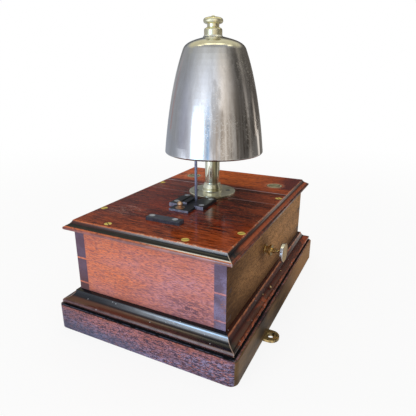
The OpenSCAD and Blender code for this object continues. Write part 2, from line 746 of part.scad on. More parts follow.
module post_nut() {
    color("darkkhaki") translate([0, bell_y, wall_top - post_nut_t]) difference() {
        cylinder(r = post_nut_r, h = post_nut_t, $fn = 6);
        translate([0, 0, -1]) cylinder(r = spigot_r + fit, h = post_nut_t + 2);
    }
}
module post_screws() {
    color("dimgray") translate([0, bell_y, lid_top + flange_t]) for (a = flange_screw_angles) rotate([0, 0, a])
        translate([flange_screw_r, 0, 0]) countersunk(fitting_head_r, fitting_shank_r, fitting_length, 30);
}

// Bell: a revolved shell whose inside follows the outside at an even thickness
module bell() {
    last = len(bell_inner) - 1;
    rim_round = bell_wall - 0.8;
    color("silver") translate([bell_x, bell_y, 0]) difference() {
        rotate_extrude($fn = 96) polygon(concat(
            arc([bell_rim_r - rim_round - 0.2, rim_z + rim_round], rim_round, -90, 0, 6),
            [for (i = [1 : last]) bell_outer[i]],
            [[0, crown_z], [0, crown_inner_z]],
            [for (i = [last : -1 : 1]) bell_inner[i]],
            [[bell_rim_r - bell_wall + 0.4, rim_z]]
        ));
        translate([-bell_x, 0, crown_inner_z - 1]) cylinder(r = stud_r + fit, h = bell_wall + 2);
    }
}
module bell_washer() {
    color("maroon") translate([0, bell_y, post_shoulder_z]) difference() {
        cylinder(r = washer_r, h = washer_t);
        translate([0, 0, -1]) cylinder(r = stud_r + fit, h = washer_t + 2);
    }
}
module crown_washer() {
    color("gainsboro") translate([0, bell_y, crown_z]) difference() {
        cylinder(r1 = bell_crown_r + 0.9, r2 = nut_collar_r + 0.1, h = crown_washer_t);
        translate([0, 0, -1]) cylinder(r = stud_r + fit, h = crown_washer_t + 2);
    }
}
module thumb_nut() {
    disc_t = 0.34 * nut_h;
    disc_edge = disc_t / 2;
    disc_z = nut_h - disc_t;
    collar_top = 0.44 * nut_h;
    color("khaki") translate([0, bell_y, nut_z]) rotate_extrude() polygon(concat(
        [[stud_r + fit, 0], [nut_collar_r, 0]],
        arc([nut_collar_r - 3, collar_top - 3], 3, 0, 80, 5),
        [[nut_neck_r, collar_top + 0.6], [nut_neck_r, disc_z - 0.4]],
        arc([nut_disc_r - disc_edge, disc_z + disc_edge], disc_edge, -90, 70, 9),
        [[stud_r + 3, nut_h + 0.7], [stud_r + fit, nut_h + 0.8]]
    ));
}

// Hammer: lever on a cross pin, soft-iron armature, rod through the lid, head inside the bell
module hammer_rod() {
    color("slategray") translate([0, hammer_y, lever_boss_z + 2]) cylinder(r = rod_r, h = rod_top_z - lever_boss_z - 2);
}
module hammer_head() {
    color("goldenrod") translate([0, hammer_y, head_z]) difference() {
        rotate([90, 0, 0]) rotate_extrude() polygon(concat(
            [[0, -head_l / 2], [head_r - 0.5, -head_l / 2], [head_r, -head_l / 2 + 0.5]],
            arc([head_r - head_edge, head_l / 2 - head_edge], head_edge, 0, 90, 5),
            [[0, head_l / 2]]
        ));
        translate([0, 0, -head_r - 1]) cylinder(r = rod_r + fit, h = 2 * head_r + 2);
    }
}
module hammer_lever() {
    color("peru") difference() {
        union() {
            translate([0, hammer_y, pivot_z]) rod_x(barrel_r, -ear_inside + 0.3, ear_inside - 0.3);
            along_y(hammer_y - lever_t / 2, hammer_y + lever_t / 2) polygon([
                [-lever_w / 2, pivot_z], [lever_w / 2, pivot_z],
                [lever_w / 2, armature_top_z - 4], [lever_boss_r, lever_boss_z],
                [-lever_boss_r, lever_boss_z], [-lever_w / 2, armature_top_z - 4]
            ]);
            translate([0, hammer_y, lever_boss_z - 2]) cylinder(r = lever_boss_r, h = lever_boss_l + 2);
        }
        translate([0, hammer_y, pivot_z]) rod_x(pivot_pin_r + running, -ear_inside, ear_inside);
        translate([0, hammer_y, lever_boss_z + 2]) cylinder(r = rod_r + fit, h = lever_boss_l);
        translate([0, 0, spring_z]) rod_y(1, hammer_y - lever_t, hammer_y + lever_t);
        armature_screw_holes();
    }
}
armature_screw_zs = [coil_z - 4.5, coil_z + 4.5];
module armature_screw_holes() {
    for (z = armature_screw_zs) translate([0, armature_rear_y - armature_t, z]) rotate([90, 0, 0])
        countersink(2.6, 1.3, armature_t + lever_t - 1);
}
module armature() {
    color("gray") difference() {
        translate([-armature_w / 2, armature_rear_y - armature_t, coil_z - armature_h / 2])
            cube([armature_w, armature_t, armature_h]);
        armature_screw_holes();
    }
}
module armature_screws() {
    color("silver") for (z = armature_screw_zs) translate([0, armature_rear_y - armature_t, z]) rotate([90, 0, 0])
        countersunk(2.6, 1.3, armature_t + lever_t - 1);
}
module pivot_pin() {
    color("silver") translate([0, hammer_y, pivot_z]) rod_x(pivot_pin_r, -ear_inside - ear_t - 0.5, ear_inside + ear_t + 0.5);
}
module pivot_bracket() {
    color("goldenrod") difference() {
        union() {
            translate([-bracket_w / 2, bracket_front_y, base_top])
                cube([bracket_w, bracket_rear_y - bracket_front_y, bracket_t]);
            both_sides() {
                translate([ear_inside, hammer_y - ear_r, base_top]) cube([ear_t, 2 * ear_r, pivot_h]);
                translate([0, hammer_y, pivot_z]) rod_x(ear_r, ear_inside, ear_inside + ear_t);
            }
            translate([-pillar_w / 2, pillar_y, base_top]) cube([pillar_w, pillar_t, pillar_top_z - base_top]);
        }
        translate([0, hammer_y, pivot_z]) rod_x(pivot_pin_r + 0.01, -bracket_w, bracket_w);
        translate([0, 0, stop_z]) rod_y(stop_r + fit, pillar_y - 1, pillar_y + pillar_t + 1);
        translate([0, 0, spring_z]) rod_y(spring_wire_r + fit, pillar_y - 1, pillar_y + pillar_t + 1);
        for (p = bracket_screw_places) translate([p[0], p[1], base_top + bracket_t]) cheese_hole();
    }
}
module stop_screw() {
    head_y = pillar_y + pillar_t + locknut_t + 5;
    color("khaki") translate([0, 0, stop_z]) {
        rod_y(stop_r, stop_tip_y, head_y);
        rod_y(stop_head_r, head_y - eps, head_y + stop_head_t);
    }
}
module stop_locknut() {
    color("khaki") translate([0, pillar_y + pillar_t + locknut_t, stop_z]) rotate([90, 0, 0]) difference() {
        cylinder(r = 4.4, h = locknut_t, $fn = 6);
        translate([0, 0, -1]) cylinder(r = stop_r + fit, h = locknut_t + 2);
    }
}
// Return spring: a close-wound coil, its ends drawn through lever and pillar and turned up
module return_spring() {
    front = hammer_y - lever_t / 2 - fit - spring_wire_r;
    back = pillar_y + pillar_t + spring_wire_r;
    color("dimgray") translate([0, 0, spring_z]) {
        rod_y(spring_r, hammer_y + 6, pillar_y - 4);
        rod_y(spring_wire_r, front, back);
        for (y = [front, back]) translate([0, y, -spring_wire_r]) cylinder(r = spring_wire_r, h = 2.2);
    }
}

// Magnet: two cores in an angle of iron, a bobbin and a winding on each
module magnet_frame() {
    color("dimgray") difference() {
        union() {
            translate([-yoke_w / 2, yoke_y - yoke_t, base_top]) cube([yoke_w, yoke_t, yoke_top_z - base_top]);
            translate([-magnet_foot_w / 2, yoke_y - eps, base_top]) cube([magnet_foot_w, magnet_foot_l, magnet_foot_t]);
        }
        both_sides() translate([core_x, 0, coil_z]) rod_y(core_r / 2 + fit, yoke_y - yoke_t - 1, yoke_y + 1);
        for (p = magnet_screw_places) translate([p[0], p[1], base_top + magnet_foot_t]) cheese_hole();
    }
}
module magnet_cores() {
    color("gray") both_sides() translate([core_x, 0, coil_z]) {
        rod_y(core_r, yoke_y, pole_y);
        rod_y(core_r / 2, yoke_y - yoke_t - 0.8, yoke_y + eps);
    }
}
module coil_bobbins() {
    color("saddlebrown") both_sides() translate([core_x, 0, coil_z]) difference() {
        union() {
            rod_y(core_r + 1.2, yoke_y, bobbin_y);
            rod_y(cheek_r, yoke_y, yoke_y + cheek_t);
            rod_y(cheek_r, bobbin_y - cheek_t, bobbin_y);
        }
        rod_y(core_r + fit, yoke_y - 1, bobbin_y + 1);
    }
}
module coil_windings() {
    color("darkgreen") both_sides() translate([core_x, 0, coil_z]) difference() {
        rod_y(cheek_r - winding_inset, yoke_y + cheek_t, bobbin_y - cheek_t);
        rod_y(core_r + 1.2, yoke_y, bobbin_y);
    }
}
// Cheese-headed screws: short ones hold the movement and the contacts, long ones the two blocks
module movement_screws() {
    color("goldenrod") {
        for (p = bracket_screw_places) translate([p[0], p[1], base_top + bracket_t]) cheese_screw(5 * p[0]);
        for (p = magnet_screw_places) translate([p[0], p[1], base_top + magnet_foot_t]) cheese_screw(3 * p[0]);
        for (p = contact_screw_places) translate([p[0], p[1], base_top + block_h + blade_t]) cheese_screw(70);
    }
}
module block_screws() {
    color("goldenrod") {
        for (p = contact_block_screw_places) translate([p[0], p[1], base_top + block_h]) cheese_screw(20, block_screw_l);
        for (p = terminal_block_screw_places) translate([p[0], p[1], base_top + terminal_block_h]) cheese_screw(-30, block_screw_l);
    }
}

// Tapper
module plunger_rod() {
    color("khaki") translate([0, tapper_y, tapper_z]) {
        rod_x(tapper_rod_r, tip_x, disc_x + 1.2);
        rod_x(bush_nose_r, disc_x - hub_l, disc_x);
    }
}
module plunger_knob() {
    edge = 1;
    color("burlywood") translate([disc_x, tapper_y, tapper_z]) rotate([0, 90, 0]) difference() {
        rotate_extrude() polygon(concat(
            [[0, 0], [tapper_disc_r - edge, 0]],
            arc([tapper_disc_r - edge, edge], edge, -90, 0, 4),
            arc([tapper_disc_r - edge, tapper_disc_t - edge], edge, 0, 80, 4),
            [[0, tapper_disc_t + 0.2]]
        ));
        translate([0, 0, -1]) cylinder(r = tapper_rod_r + fit, h = 1 + 1.2 + fit);
    }
}
module plunger_collar() {
    color("khaki") translate([0, tapper_y, tapper_z]) difference() {
        rod_x(plunger_collar_r, bush_end_x - 0.1 - plunger_collar_l, bush_end_x - 0.1);
        rod_x(tapper_rod_r + 0.01, bush_end_x - plunger_collar_l - 1, bush_end_x);
    }
}
module plunger_bush() {
    color("darkkhaki") translate([0, tapper_y, tapper_z]) difference() {
        union() {
            rod_x(bush_r, bush_end_x, nose_x - bush_nose_l);
            rod_x(bush_flange_r, half_w, half_w + bush_flange_t);
            rod_x(bush_ring_r, nose_x - bush_nose_l - bush_ring_t, nose_x - bush_nose_l);
            rod_x(bush_nose_r, nose_x - bush_nose_l - eps, nose_x);
        }
        rod_x(tapper_rod_r + running, bush_end_x - 1, nose_x + 1);
    }
}
module contact_block() {
    color([0.1, 0.1, 0.1]) difference() {
        translate([block_left_x, tapper_y - block_d / 2, base_top]) cube([block_right_x - block_left_x, block_d, block_h]);
        for (p = contact_screw_places) translate([p[0], p[1], base_top + block_h + blade_t]) cheese_hole();
        block_screw_holes();
    }
}
// Contact blade: a flat spring bent upright in front of the plunger's tip
module contact_blade() {
    color("gold") difference() {
        along_y(tapper_y - blade_w / 2, tapper_y + blade_w / 2) translate([blade_x, base_top + block_h]) {
            square([blade_t, contact_top_z - base_top - block_h]);
            square([foot_l, blade_t]);
        }
        translate([contact_screw_places[0][0], tapper_y, base_top + block_h]) cheese_hole();
    }
}
module contact_anvil() {
    color("gold") difference() {
        union() {
            along_y(tapper_y - blade_w / 2, tapper_y + blade_w / 2) translate([anvil_x, base_top + block_h]) {
                square([anvil_t, contact_top_z - base_top - block_h]);
                translate([-foot_l + anvil_t, 0]) square([foot_l, blade_t]);
            }
            translate([0, tapper_y, tapper_z]) rod_x(1.5, anvil_x + anvil_t - eps, anvil_x + anvil_t + anvil_stud_l);
        }
        translate([contact_screw_places[1][0], tapper_y, base_top + block_h]) cheese_hole();
    }
}

// Terminals and the leads to them
module terminal_block() {
    color([0.1, 0.1, 0.1]) difference() {
        translate([-terminal_block_w / 2, terminal_block_y, base_top]) cube([terminal_block_w, terminal_block_d, terminal_block_h]);
        block_screw_holes();
        for (i = [0 : terminal_count - 1]) translate([terminal_place(i), terminal_block_y + terminal_block_d / 2, base_top + 2])
            cylinder(r = 2 + fit, h = terminal_block_h);
    }
}
function terminal_place(i) = (i - (terminal_count - 1) / 2) * terminal_pitch;
module terminals() {
    color("goldenrod") for (i = [0 : terminal_count - 1])
        translate([terminal_place(i), terminal_block_y + terminal_block_d / 2, base_top + terminal_block_h]) {
            translate([0, 0, -terminal_block_h + 3]) cylinder(r = 2, h = terminal_stud_l);
            cylinder(r = 4, h = 3);
            translate([0, 0, 6]) cylinder(r = 4.6, h = 4);
        }
}
// A round wire along a smooth route; no part of a route may run along X
module wire(route) {
    n = len(route);
    sides = 6;
    tangents = [for (i = [0 : n - 1]) unit(route[min(i + 1, n - 1)] - route[max(i - 1, 0)])];
    rings = [for (i = [0 : n - 1]) let (u = unit(cross([1, 0, 0], tangents[i])), v = cross(tangents[i], u))
        each [for (k = [0 : sides - 1]) route[i] + lead_r * (cos(360 * k / sides) * u + sin(360 * k / sides) * v)]];
    walls = [for (i = [0 : n - 2], k = [0 : sides - 1]) let (a = i * sides + k, b = i * sides + (k + 1) % sides)
        each [[a, b, a + sides], [b, b + sides, a + sides]]];
    ends = concat([for (k = [1 : sides - 2]) [0, k + 1, k]],
        [for (k = [1 : sides - 2]) let (s = (n - 1) * sides) [s, s + k, s + k + 1]]);
    polyhedron(rings, concat(walls, ends));
}
lead_floor = base_top + lead_r + 0.5;
coil_lead_x = min(core_x + 0.75 * (cheek_r - winding_inset), block_left_x - 2);
coil_lead_y = yoke_y + 10;
coil_lead_z = coil_z - sqrt(pow(cheek_r - winding_inset, 2) - pow(coil_lead_x - core_x, 2)) - lead_r - 0.2;
function coil_lead(s, place) = [
    [s * coil_lead_x, coil_lead_y, coil_lead_z], [s * coil_lead_x, coil_lead_y, (coil_lead_z + lead_floor) / 2],
    [s * coil_lead_x, coil_lead_y + 8, lead_floor + 1], [s * coil_lead_x, hammer_y, lead_floor],
    [s * coil_lead_x, bracket_rear_y + 4, lead_floor], each lead_tail(place)
];
function contact_lead(x, place) = [
    [x, tapper_y + block_d / 2 + 0.1, base_top + 5], [x, tapper_y + block_d / 2 + 3, base_top + 4.8],
    [x, tapper_y + block_d / 2 + 9, lead_floor + 0.4],
    [x, tapper_y + block_d / 2 + 30, lead_floor], each lead_tail(place)
];
// Along the floor, up the front of the block and to the terminal's collar
function lead_tail(place) = [
    [place, terminal_block_y - 22, lead_floor], [place, terminal_block_y - 7, lead_floor + 0.2],
    [place, terminal_block_y - 2.6, base_top + 0.4 * terminal_block_h],
    [place, terminal_block_y - 2, base_top + terminal_block_h - 2],
    [place, terminal_block_y - 1, base_top + terminal_block_h + lead_r + 0.6],
    [place, terminal_block_y + 2, base_top + terminal_block_h + lead_r + 0.7],
    [place, terminal_block_y + terminal_block_d / 2 - 4.2, base_top + terminal_block_h + lead_r + 0.2]
];
module leads() {
    color("darkolivegreen") {
        wire(spline(coil_lead(-1, terminal_place(0)), 5));
        wire(spline(coil_lead(1, terminal_place(1)), 5));
        wire(spline(contact_lead(contact_screw_places[1][0], terminal_place(2)), 6));
        wire(spline(contact_lead(contact_screw_places[0][0], terminal_place(3)), 6));
    }
}

// Slide plate between two rebated rails, and the bar that stops it
module slide_plate() {
    color([0.12, 0.12, 0.13]) difference() {
        union() {
            translate([slide_left, slide_front_y, slide_z]) cube([slide_w, slide_rear_y - slide_front_y, slide_t]);
            translate([rib_x, rib_y, slide_z + slide_t - eps]) cube([rib_w, rib_l, rib_h]);
        }
        fork_front = hammer_y - rod_r - swing_at_lid - 1.2 + fork_w / 2;
        translate([0, fork_front, lid_top]) cylinder(r = fork_w / 2, h = slide_t + 2);
        translate([-fork_w / 2, fork_front, lid_top]) cube([fork_w, slide_rear_y - fork_front + 1, slide_t + 2]);
        translate([knob_x, knob_y, lid_top]) cylinder(r = 1.5 + fit, h = slide_t + 2);
    }
}
module slide_knob() {
    top = slide_z + slide_t;
    ball_z = 4.4;
    color("peru") translate([knob_x, knob_y, top]) {
        translate([0, 0, -slide_t + 0.3]) cylinder(r = 1.5, h = slide_t);
        rotate_extrude() polygon(concat(
            [[0, 0], [knob_foot_r, 0], [knob_foot_r, 0.5], [1.9, 1]],
            arc([0, ball_z], knob_r, -62, 90, 12)
        ));
    }
}
module rail(x, width, lap, lap_on_right, rear, height, length) {
    difference() {
        along_y(rear - length, rear) polygon([
            [x, lid_top], [x + width, lid_top], [x + width, lid_top + height - 0.6], [x + width - 0.6, lid_top + height],
            [x + 0.6, lid_top + height], [x, lid_top + height - 0.6]
        ]);
        translate([lap_on_right ? x + width - lap - slide_gap : x - 1, rear - length - 1, lid_top - 1])
            cube([lap + slide_gap + 1, length + 2, slide_t + 3 * slide_gap + 1]);
        for (p = fitting_screw_places) translate([p[0], p[1], p[2]]) countersink(fitting_head_r, fitting_shank_r, fitting_length);
    }
}
module guide_rail_left() color([0.14, 0.14, 0.15]) 
    rail(rail_left_x, rail_w, rail_lap_left, true, rail_rear_y, rail_h, rail_l);
module guide_rail_right() color([0.14, 0.14, 0.15])
    rail(rail_right_x, rail_w + rail_wider, rail_lap_right, false, rail_rear_y + rail_right_back, rail_h - rail_lower, rail_l - rail_shorter);
module stop_bar() {
    color([0.14, 0.14, 0.15]) difference() {
        intersection() {
            along_x(bar_x - bar_l / 2, bar_x + bar_l / 2) translate([bar_rear_y - bar_w / 2, lid_top]) polygon(bar_section(bar_w / 2));
            along_y(bar_rear_y - bar_w, bar_rear_y) translate([bar_x, lid_top]) polygon(bar_section(bar_l / 2));
        }
        for (p = fitting_screw_places) translate([p[0], p[1], p[2]]) countersink(fitting_head_r, fitting_shank_r, fitting_length);
    }
}
function bar_section(half) = [
    [-half, 0], [half, 0], [half, bar_h - bar_bevel], [half - bar_bevel, bar_h], [-half + bar_bevel, bar_h], [-half, bar_h - bar_bevel]
];
module fitting_screws() {
    color("lightsteelblue") for (p = fitting_screw_places) translate([p[0], p[1], p[2]])
        countersunk(fitting_head_r, fitting_shank_r, fitting_length, p[3]);
}

base_board();
base_screws();
plinth_front();
plinth_back();
plinth_left();
plinth_right();
case_front();
case_back();
case_left();
case_right();
lid_front();
lid_middle();
lid_back();
lid_screws();
cover_cups();
cover_screws();
cover_blocks();
fixing_lugs();
lug_screws();
bell_post();
post_nut();
post_screws();
bell();
bell_washer();
crown_washer();
thumb_nut();
guide_rail_left();
guide_rail_right();
slide_plate();
slide_knob();
stop_bar();
fitting_screws();
hammer_rod();
hammer_head();
hammer_lever();
armature();
armature_screws();
pivot_pin();
pivot_bracket();
stop_screw();
stop_locknut();
return_spring();
magnet_frame();
magnet_cores();
coil_bobbins();
coil_windings();
movement_screws();
block_screws();
plunger_rod();
plunger_knob();
plunger_collar();
plunger_bush();
contact_block();
contact_blade();
contact_anvil();
terminal_block();
terminals();
leads();
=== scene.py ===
# %% [markdown]
# # A railway block bell
# This is a single-stroke electric bell. It has a mahogany case with ebonised mouldings, a tall plated
# bell on a brass post, a hammer whose rod comes up through the lid, and a tapper in the right side. The
# solid pieces come from the packed part, already in place. This file gives every surface its finish,
# puts finely cut copies in place of two springs, adds a few pins, and sets up the floor, the light and
# the camera.

# None of their points is moved here.

import math

import bmesh
import bpy
import numpy as np
from mathutils import Euler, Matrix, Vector


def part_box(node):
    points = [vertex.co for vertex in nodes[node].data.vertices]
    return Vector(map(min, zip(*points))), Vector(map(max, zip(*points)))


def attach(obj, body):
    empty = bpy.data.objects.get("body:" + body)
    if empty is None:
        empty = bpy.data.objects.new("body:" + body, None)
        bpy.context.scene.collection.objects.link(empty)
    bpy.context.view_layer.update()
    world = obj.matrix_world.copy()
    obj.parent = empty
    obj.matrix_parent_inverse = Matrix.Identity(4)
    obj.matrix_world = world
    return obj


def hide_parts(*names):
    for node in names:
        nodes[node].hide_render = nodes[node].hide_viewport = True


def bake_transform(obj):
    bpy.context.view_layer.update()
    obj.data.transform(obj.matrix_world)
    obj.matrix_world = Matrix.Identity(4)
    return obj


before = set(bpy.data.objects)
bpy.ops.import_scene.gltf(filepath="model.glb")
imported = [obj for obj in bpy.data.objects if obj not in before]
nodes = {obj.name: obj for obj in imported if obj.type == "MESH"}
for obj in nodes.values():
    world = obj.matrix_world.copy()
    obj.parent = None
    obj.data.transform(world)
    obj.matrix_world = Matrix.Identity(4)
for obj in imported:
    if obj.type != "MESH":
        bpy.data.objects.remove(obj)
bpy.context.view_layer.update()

# %% [markdown]
# ## Planes of the case
# Polish, dirt and wear follow the case: they gather in coves and go first at edges. The main planes are
# read from the part itself, so that the finishes stay on their boards if a size changes.

# %% Planes of the case
MM = 0.001
HALF_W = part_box("case_right")[1].x
HALF_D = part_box("case_right")[1].y
BASE_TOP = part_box("base_board")[1].z
LID_LOW, LID_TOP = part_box("lid_front")[0].z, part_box("lid_front")[1].z
BOARD_JOINTS = (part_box("lid_middle")[0].y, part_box("lid_middle")[1].y)
BELL_LOW, BELL_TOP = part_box("bell")
BELL_Y = (BELL_LOW.y + BELL_TOP.y) / 2
CUP_RADIUS = 10
CUP_X = (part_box("cover_cups")[1].x / MM) - CUP_RADIUS
CUP_Y = (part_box("cover_cups")[0].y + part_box("cover_cups")[1].y) / 2 / MM
print("walls at", HALF_W, HALF_D, "lid from", LID_LOW, "to", LID_TOP)

# %% [markdown]
# ## Shader arithmetic
# A finish is a formula of the place on the object. It could be wired by hand in the shader editor, one
# Math node at a time. Here a Wire stands for one value, and adding or multiplying wires adds the nodes
# that do it, so a finish reads like the formula that it is.


# %% Wires
def add_node(tree, kind, inputs, out=0, **settings):
    """A new shader node, set first and then fed with wires or plain values, and the wire that leaves it."""
    made = tree.nodes.new("ShaderNode" + kind)
    for name, value in settings.items():
        setattr(made, name, value)
    for place, value in inputs.items():
        if isinstance(value, Wire):
            tree.links.new(value.socket, made.inputs[place])
        else:
            made.inputs[place].default_value = value
    return Wire(tree, made.outputs[out])


class Wire:
    """One value on its way through a shader."""

    def __init__(self, tree, socket):
        self.tree, self.socket = tree, socket

    def maths(self, operation, *others):
        """What a Math node makes of this value and the others."""
        return add_node(self.tree, "Math", dict(enumerate((self, *others))), operation=operation)

    def __add__(self, other):
        return self.maths("ADD", other)

    def __sub__(self, other):
        return self.maths("SUBTRACT", other)

    def __mul__(self, other):
        return self.maths("MULTIPLY", other)

    def __abs__(self):
        return self.maths("ABSOLUTE")

    __radd__, __rmul__ = __add__, __mul__

    def __rsub__(self, other):
        return self * -1 + other

    def above(self, other):
        """The larger of the two."""
        return self.maths("MAXIMUM", other)

    def below(self, other):
        """The smaller of the two."""
        return self.maths("MINIMUM", other)

    def rise(self, low, high):
        """0 up to low, 1 from high on, and smooth between them. It falls if low is the larger."""
        ends = {0: self, 1: low, 2: high, 3: 0.0, 4: 1.0}
        return add_node(self.tree, "MapRange", ends, interpolation_type="SMOOTHSTEP")

    def past(self, edge):
        """0 before an edge on the object and 1 past it, within 0.3 mm."""
        return self.rise(edge - 0.3 * MM, edge + 0.3 * MM)

    def near(self, middle, width):
        """1 at the middle value, falling to 0 at that distance from it."""
        return abs(self - middle).rise(width, 0)

    def parts(self):
        """The three components of a vector."""
        split = add_node(self.tree, "SeparateXYZ", {0: self})
        return [Wire(self.tree, out) for out in split.socket.node.outputs]

    def stretched(self, x, y, z):
        """A vector with each of its components multiplied by its own number."""
        return add_node(self.tree, "VectorMath", {0: self, 1: (x, y, z)}, operation="MULTIPLY")

    def noise(self, *scale, detail=3, rough=0.5, warp=0.0):
        """Cloudy noise of about 0.3 to 0.7. scale is clouds per metre, one number or one for each axis."""
        x, y, z = scale if len(scale) == 3 else scale * 3
        settings = {"Vector": self.stretched(x, y, z), "Scale": 1.0, "Detail": detail, "Roughness": rough}
        return add_node(self.tree, "TexNoise", {**settings, "Distortion": warp})

    def cells(self, scale):
        """Distance to the nearest of many scattered points, in cells. scale is the cells per metre."""
        settings = {"Vector": self.stretched(scale, scale, scale), "Scale": 1.0}
        return add_node(self.tree, "TexVoronoi", settings)


print("besides plain arithmetic a wire knows", *[name for name in vars(Wire) if not name.startswith("_")])

# %% [markdown]
# ## Coats of colour
# A polisher lays colour in coats: a stain, then darker and lighter layers where the wood takes them. The
# finishes do the same. Each coat is a share from 0 to 1 and a colour, mixed over what lies below it.


# %% Coats
def colour(value):
    """A wire as it is, and red, green and blue with an alpha of 1 added."""
    return value if isinstance(value, Wire) else (*value, 1.0)


def mix(share, first, second):
    """The first colour where share is 0 and the second where it is 1."""
    ends = {0: share, 6: colour(first), 7: colour(second)}
    return add_node(share.tree, "Mix", ends, out=2, data_type="RGBA")


def layers(ground, *coats):
    """Colours laid over a ground, each as (share, colour)."""
    for share, coat in coats:
        ground = mix(share, ground, coat)
    return ground


def spot(across, up, centre, reach):
    """1 at a place on a surface, falling to 0 at its reach each way."""
    return across.near(centre[0], reach[0]) * up.near(centre[1], reach[1])


print("black becomes", colour((0, 0, 0)), "in a shader: red, green, blue and alpha")

# %% [markdown]
# ## A finish
# A finish is a function from the place on the object, and the way the surface faces, to the inputs of
# one Principled shader. Height is in millimetres and goes through a Bump node. Round is the radius, in
# millimetres, to which sharp edges look worn: the solids have crisp edges, and a Bevel node softens the
# light along them without a change to their shape.


# %% Finishes
def finish(name, paint, *targets, round=0.25):
    """A new material made by a paint function, put on pieces and on nodes named by their names."""
    made = bpy.data.materials.new(name)
    made.use_nodes = True
    tree = made.node_tree
    shader = tree.nodes["Principled BSDF"]
    at = add_node(tree, "TexCoord", {}, out=3)
    facing = add_node(tree, "TexCoord", {}, out=1)
    inputs = paint(at, facing)
    edge = add_node(tree, "Bevel", {0: round * MM}, samples=6)
    if "Height" in inputs:
        bump = {"Height": inputs.pop("Height"), "Distance": MM, "Strength": 1.0, "Normal": edge}
        edge = add_node(tree, "Bump", bump)
    inputs["Normal"] = edge
    for place, value in inputs.items():
        if isinstance(value, Wire):
            tree.links.new(value.socket, shader.inputs[place])
        else:
            shader.inputs[place].default_value = (*value, 1.0) if isinstance(value, tuple) else value
    for target in targets:
        piece = nodes[target] if isinstance(target, str) else target
        piece.data.materials.clear()
        piece.data.materials.append(made)
    print(name, "on", len(targets), "pieces")


# %% [markdown]
# ## Mahogany
# Mahogany is a red-brown ground with broad bands, fine streaks and short dark dashes, all drawn out
# along the grain. A picture of wood would repeat and stretch at the ends of a board. Noise squeezed
# across the grain gives the same figure, different on every board and right on each of its faces.


# %% Grain
def along_grain(axis, fibre, across):
    """Clouds per metre for noise that is drawn out along one axis."""
    scale = [across] * 3
    scale[axis] = fibre
    return scale


def grain(at, axis):
    """Wood figure along one axis: broad bands and fine streaks, each from 0 to 1."""
    bands = at.noise(*along_grain(axis, 6, 55), detail=4, warp=0.6).rise(0.35, 0.66)
    streaks = at.noise(*along_grain(axis, 45, 620), detail=3, rough=0.6).rise(0.36, 0.66)
    return bands, streaks


def flecks(at, axis):
    """Short dark dashes along the grain, from 0 to 1."""
    fine = at.noise(*along_grain(axis, 190, 1500), detail=2, rough=0.6).rise(0.46, 0.64)
    coarse = at.noise(*along_grain(axis, 75, 620), detail=3, rough=0.6).rise(0.5, 0.68)
    return fine.above(coarse * 0.8)


ALONG_X, ALONG_Y = 0, 1
print("clouds per metre in the bands of the front board", along_grain(ALONG_X, 6, 55))
print("and of a side board", along_grain(ALONG_Y, 6, 55))

# %% [markdown]
# ## Front and back boards
# The front board is the brightest wood of the case: orange-red, with dark flecks, and damp marks to the
# lower right. A purple-grey painted reflection lies over it, strongest to the lower right. The ends of its
# pins show as two thin lines in the corner joints, so faces that look sideways get a plain dark end grain.

# %% Front and back boards
DAMP_PATCH, DAMP_REACH = (0.052, 0.056), (0.045, 0.024)


def front_board_paint(at, facing):
    """Orange-red mahogany with dark flecks, and a purple-grey painted reflection to the lower right."""
    x, _, z = at.parts()
    bands, streaks = grain(at, ALONG_X)
    dashes = flecks(at, ALONG_X)
    cloud = at.noise(20, 20, 45, detail=4, rough=0.6)
    # a purple-grey painted reflection, growing to the right and towards the bottom
    painted_reflection_sheen = (x * 3.6 - z * 3.0 + cloud * 1.1).rise(0.02, 0.80)
    dull_bands = at.noise(30, 30, 260, detail=4, rough=0.6).rise(0.5, 0.7)
    bright_grains = at.noise(330, 330, 1500, detail=2, rough=0.6).rise(0.52, 0.62)
    blots = at.noise(130, 130, 420, detail=4, rough=0.75).rise(0.44, 0.55)
    low_edge = z.rise(BASE_TOP + 0.024, BASE_TOP + 0.014)
    wood = layers(
        mix(bands, (0.80, 0.20, 0.075), (0.60, 0.155, 0.085)),
        (streaks * 0.35, (0.84, 0.33, 0.20)),
        (painted_reflection_sheen * 0.85, (0.58, 0.32, 0.42)),
        (dull_bands * 0.3, (0.34, 0.10, 0.07)),
        (dashes * 0.85, (0.20, 0.080, 0.115)),
        (bright_grains * 0.5, (0.88, 0.30, 0.15)),
        (blots * spot(x, z, DAMP_PATCH, DAMP_REACH) * 0.9, (0.11, 0.055, 0.085)),
        (low_edge * 0.45, (0.15, 0.055, 0.06)),
    )
    is_end = abs(facing.parts()[0]).rise(0.5, 0.8)
    return {
        "Base Color": mix(is_end, wood, (0.075, 0.035, 0.02)),
        "Roughness": dashes * 0.15 + 0.4,
        "Specular IOR Level": 0.25,
        "Height": dashes * -0.05 + streaks * 0.02,
    }


finish("front_mahogany", front_board_paint, "case_front", "case_back")

# %% [markdown]
# ## Side boards and their end grain
# The side boards are brown and gold. Painted light makes them dark towards the front and gold towards the
# back, with a painted shadow round the tapper and painted shade under the lid. Their ends are what shows
# as the dark strips at the front corners: wide dovetail tails. End grain drinks stain and has no streaks,
# only fine speckle, so it is a finish of its own, chosen by the way the surface faces.

# %% Side boards
# where the painted shadow round the tapper lies on the side board, and how far it reaches
TAPPER_SHADOW, TAPPER_SHADOW_REACH = (-0.036, 0.085), (0.022, 0.03)


def end_grain(at, x, z, speckle):
    """Grey-purple end grain: darker on the left corner, and freshly red where it has been knocked."""
    cloud = at.noise(60, 60, 90, detail=3).rise(0.4, 0.6)
    knocked = (speckle * at.noise(70, 70, 60).rise(0.45, 0.62)) * (0.098 - z).rise(0, 0.02)
    left = (x * -1).rise(0.0, 0.05)
    return layers(
        mix(cloud, (0.27, 0.225, 0.37), (0.17, 0.13, 0.205)),
        (speckle * 0.45, (0.10, 0.06, 0.085)),
        (knocked * 0.8, (0.55, 0.24, 0.13)),
        (left * 0.8, mix(z.rise(0.07, 0.05), (0.13, 0.075, 0.105), (0.12, 0.05, 0.04))),
    )


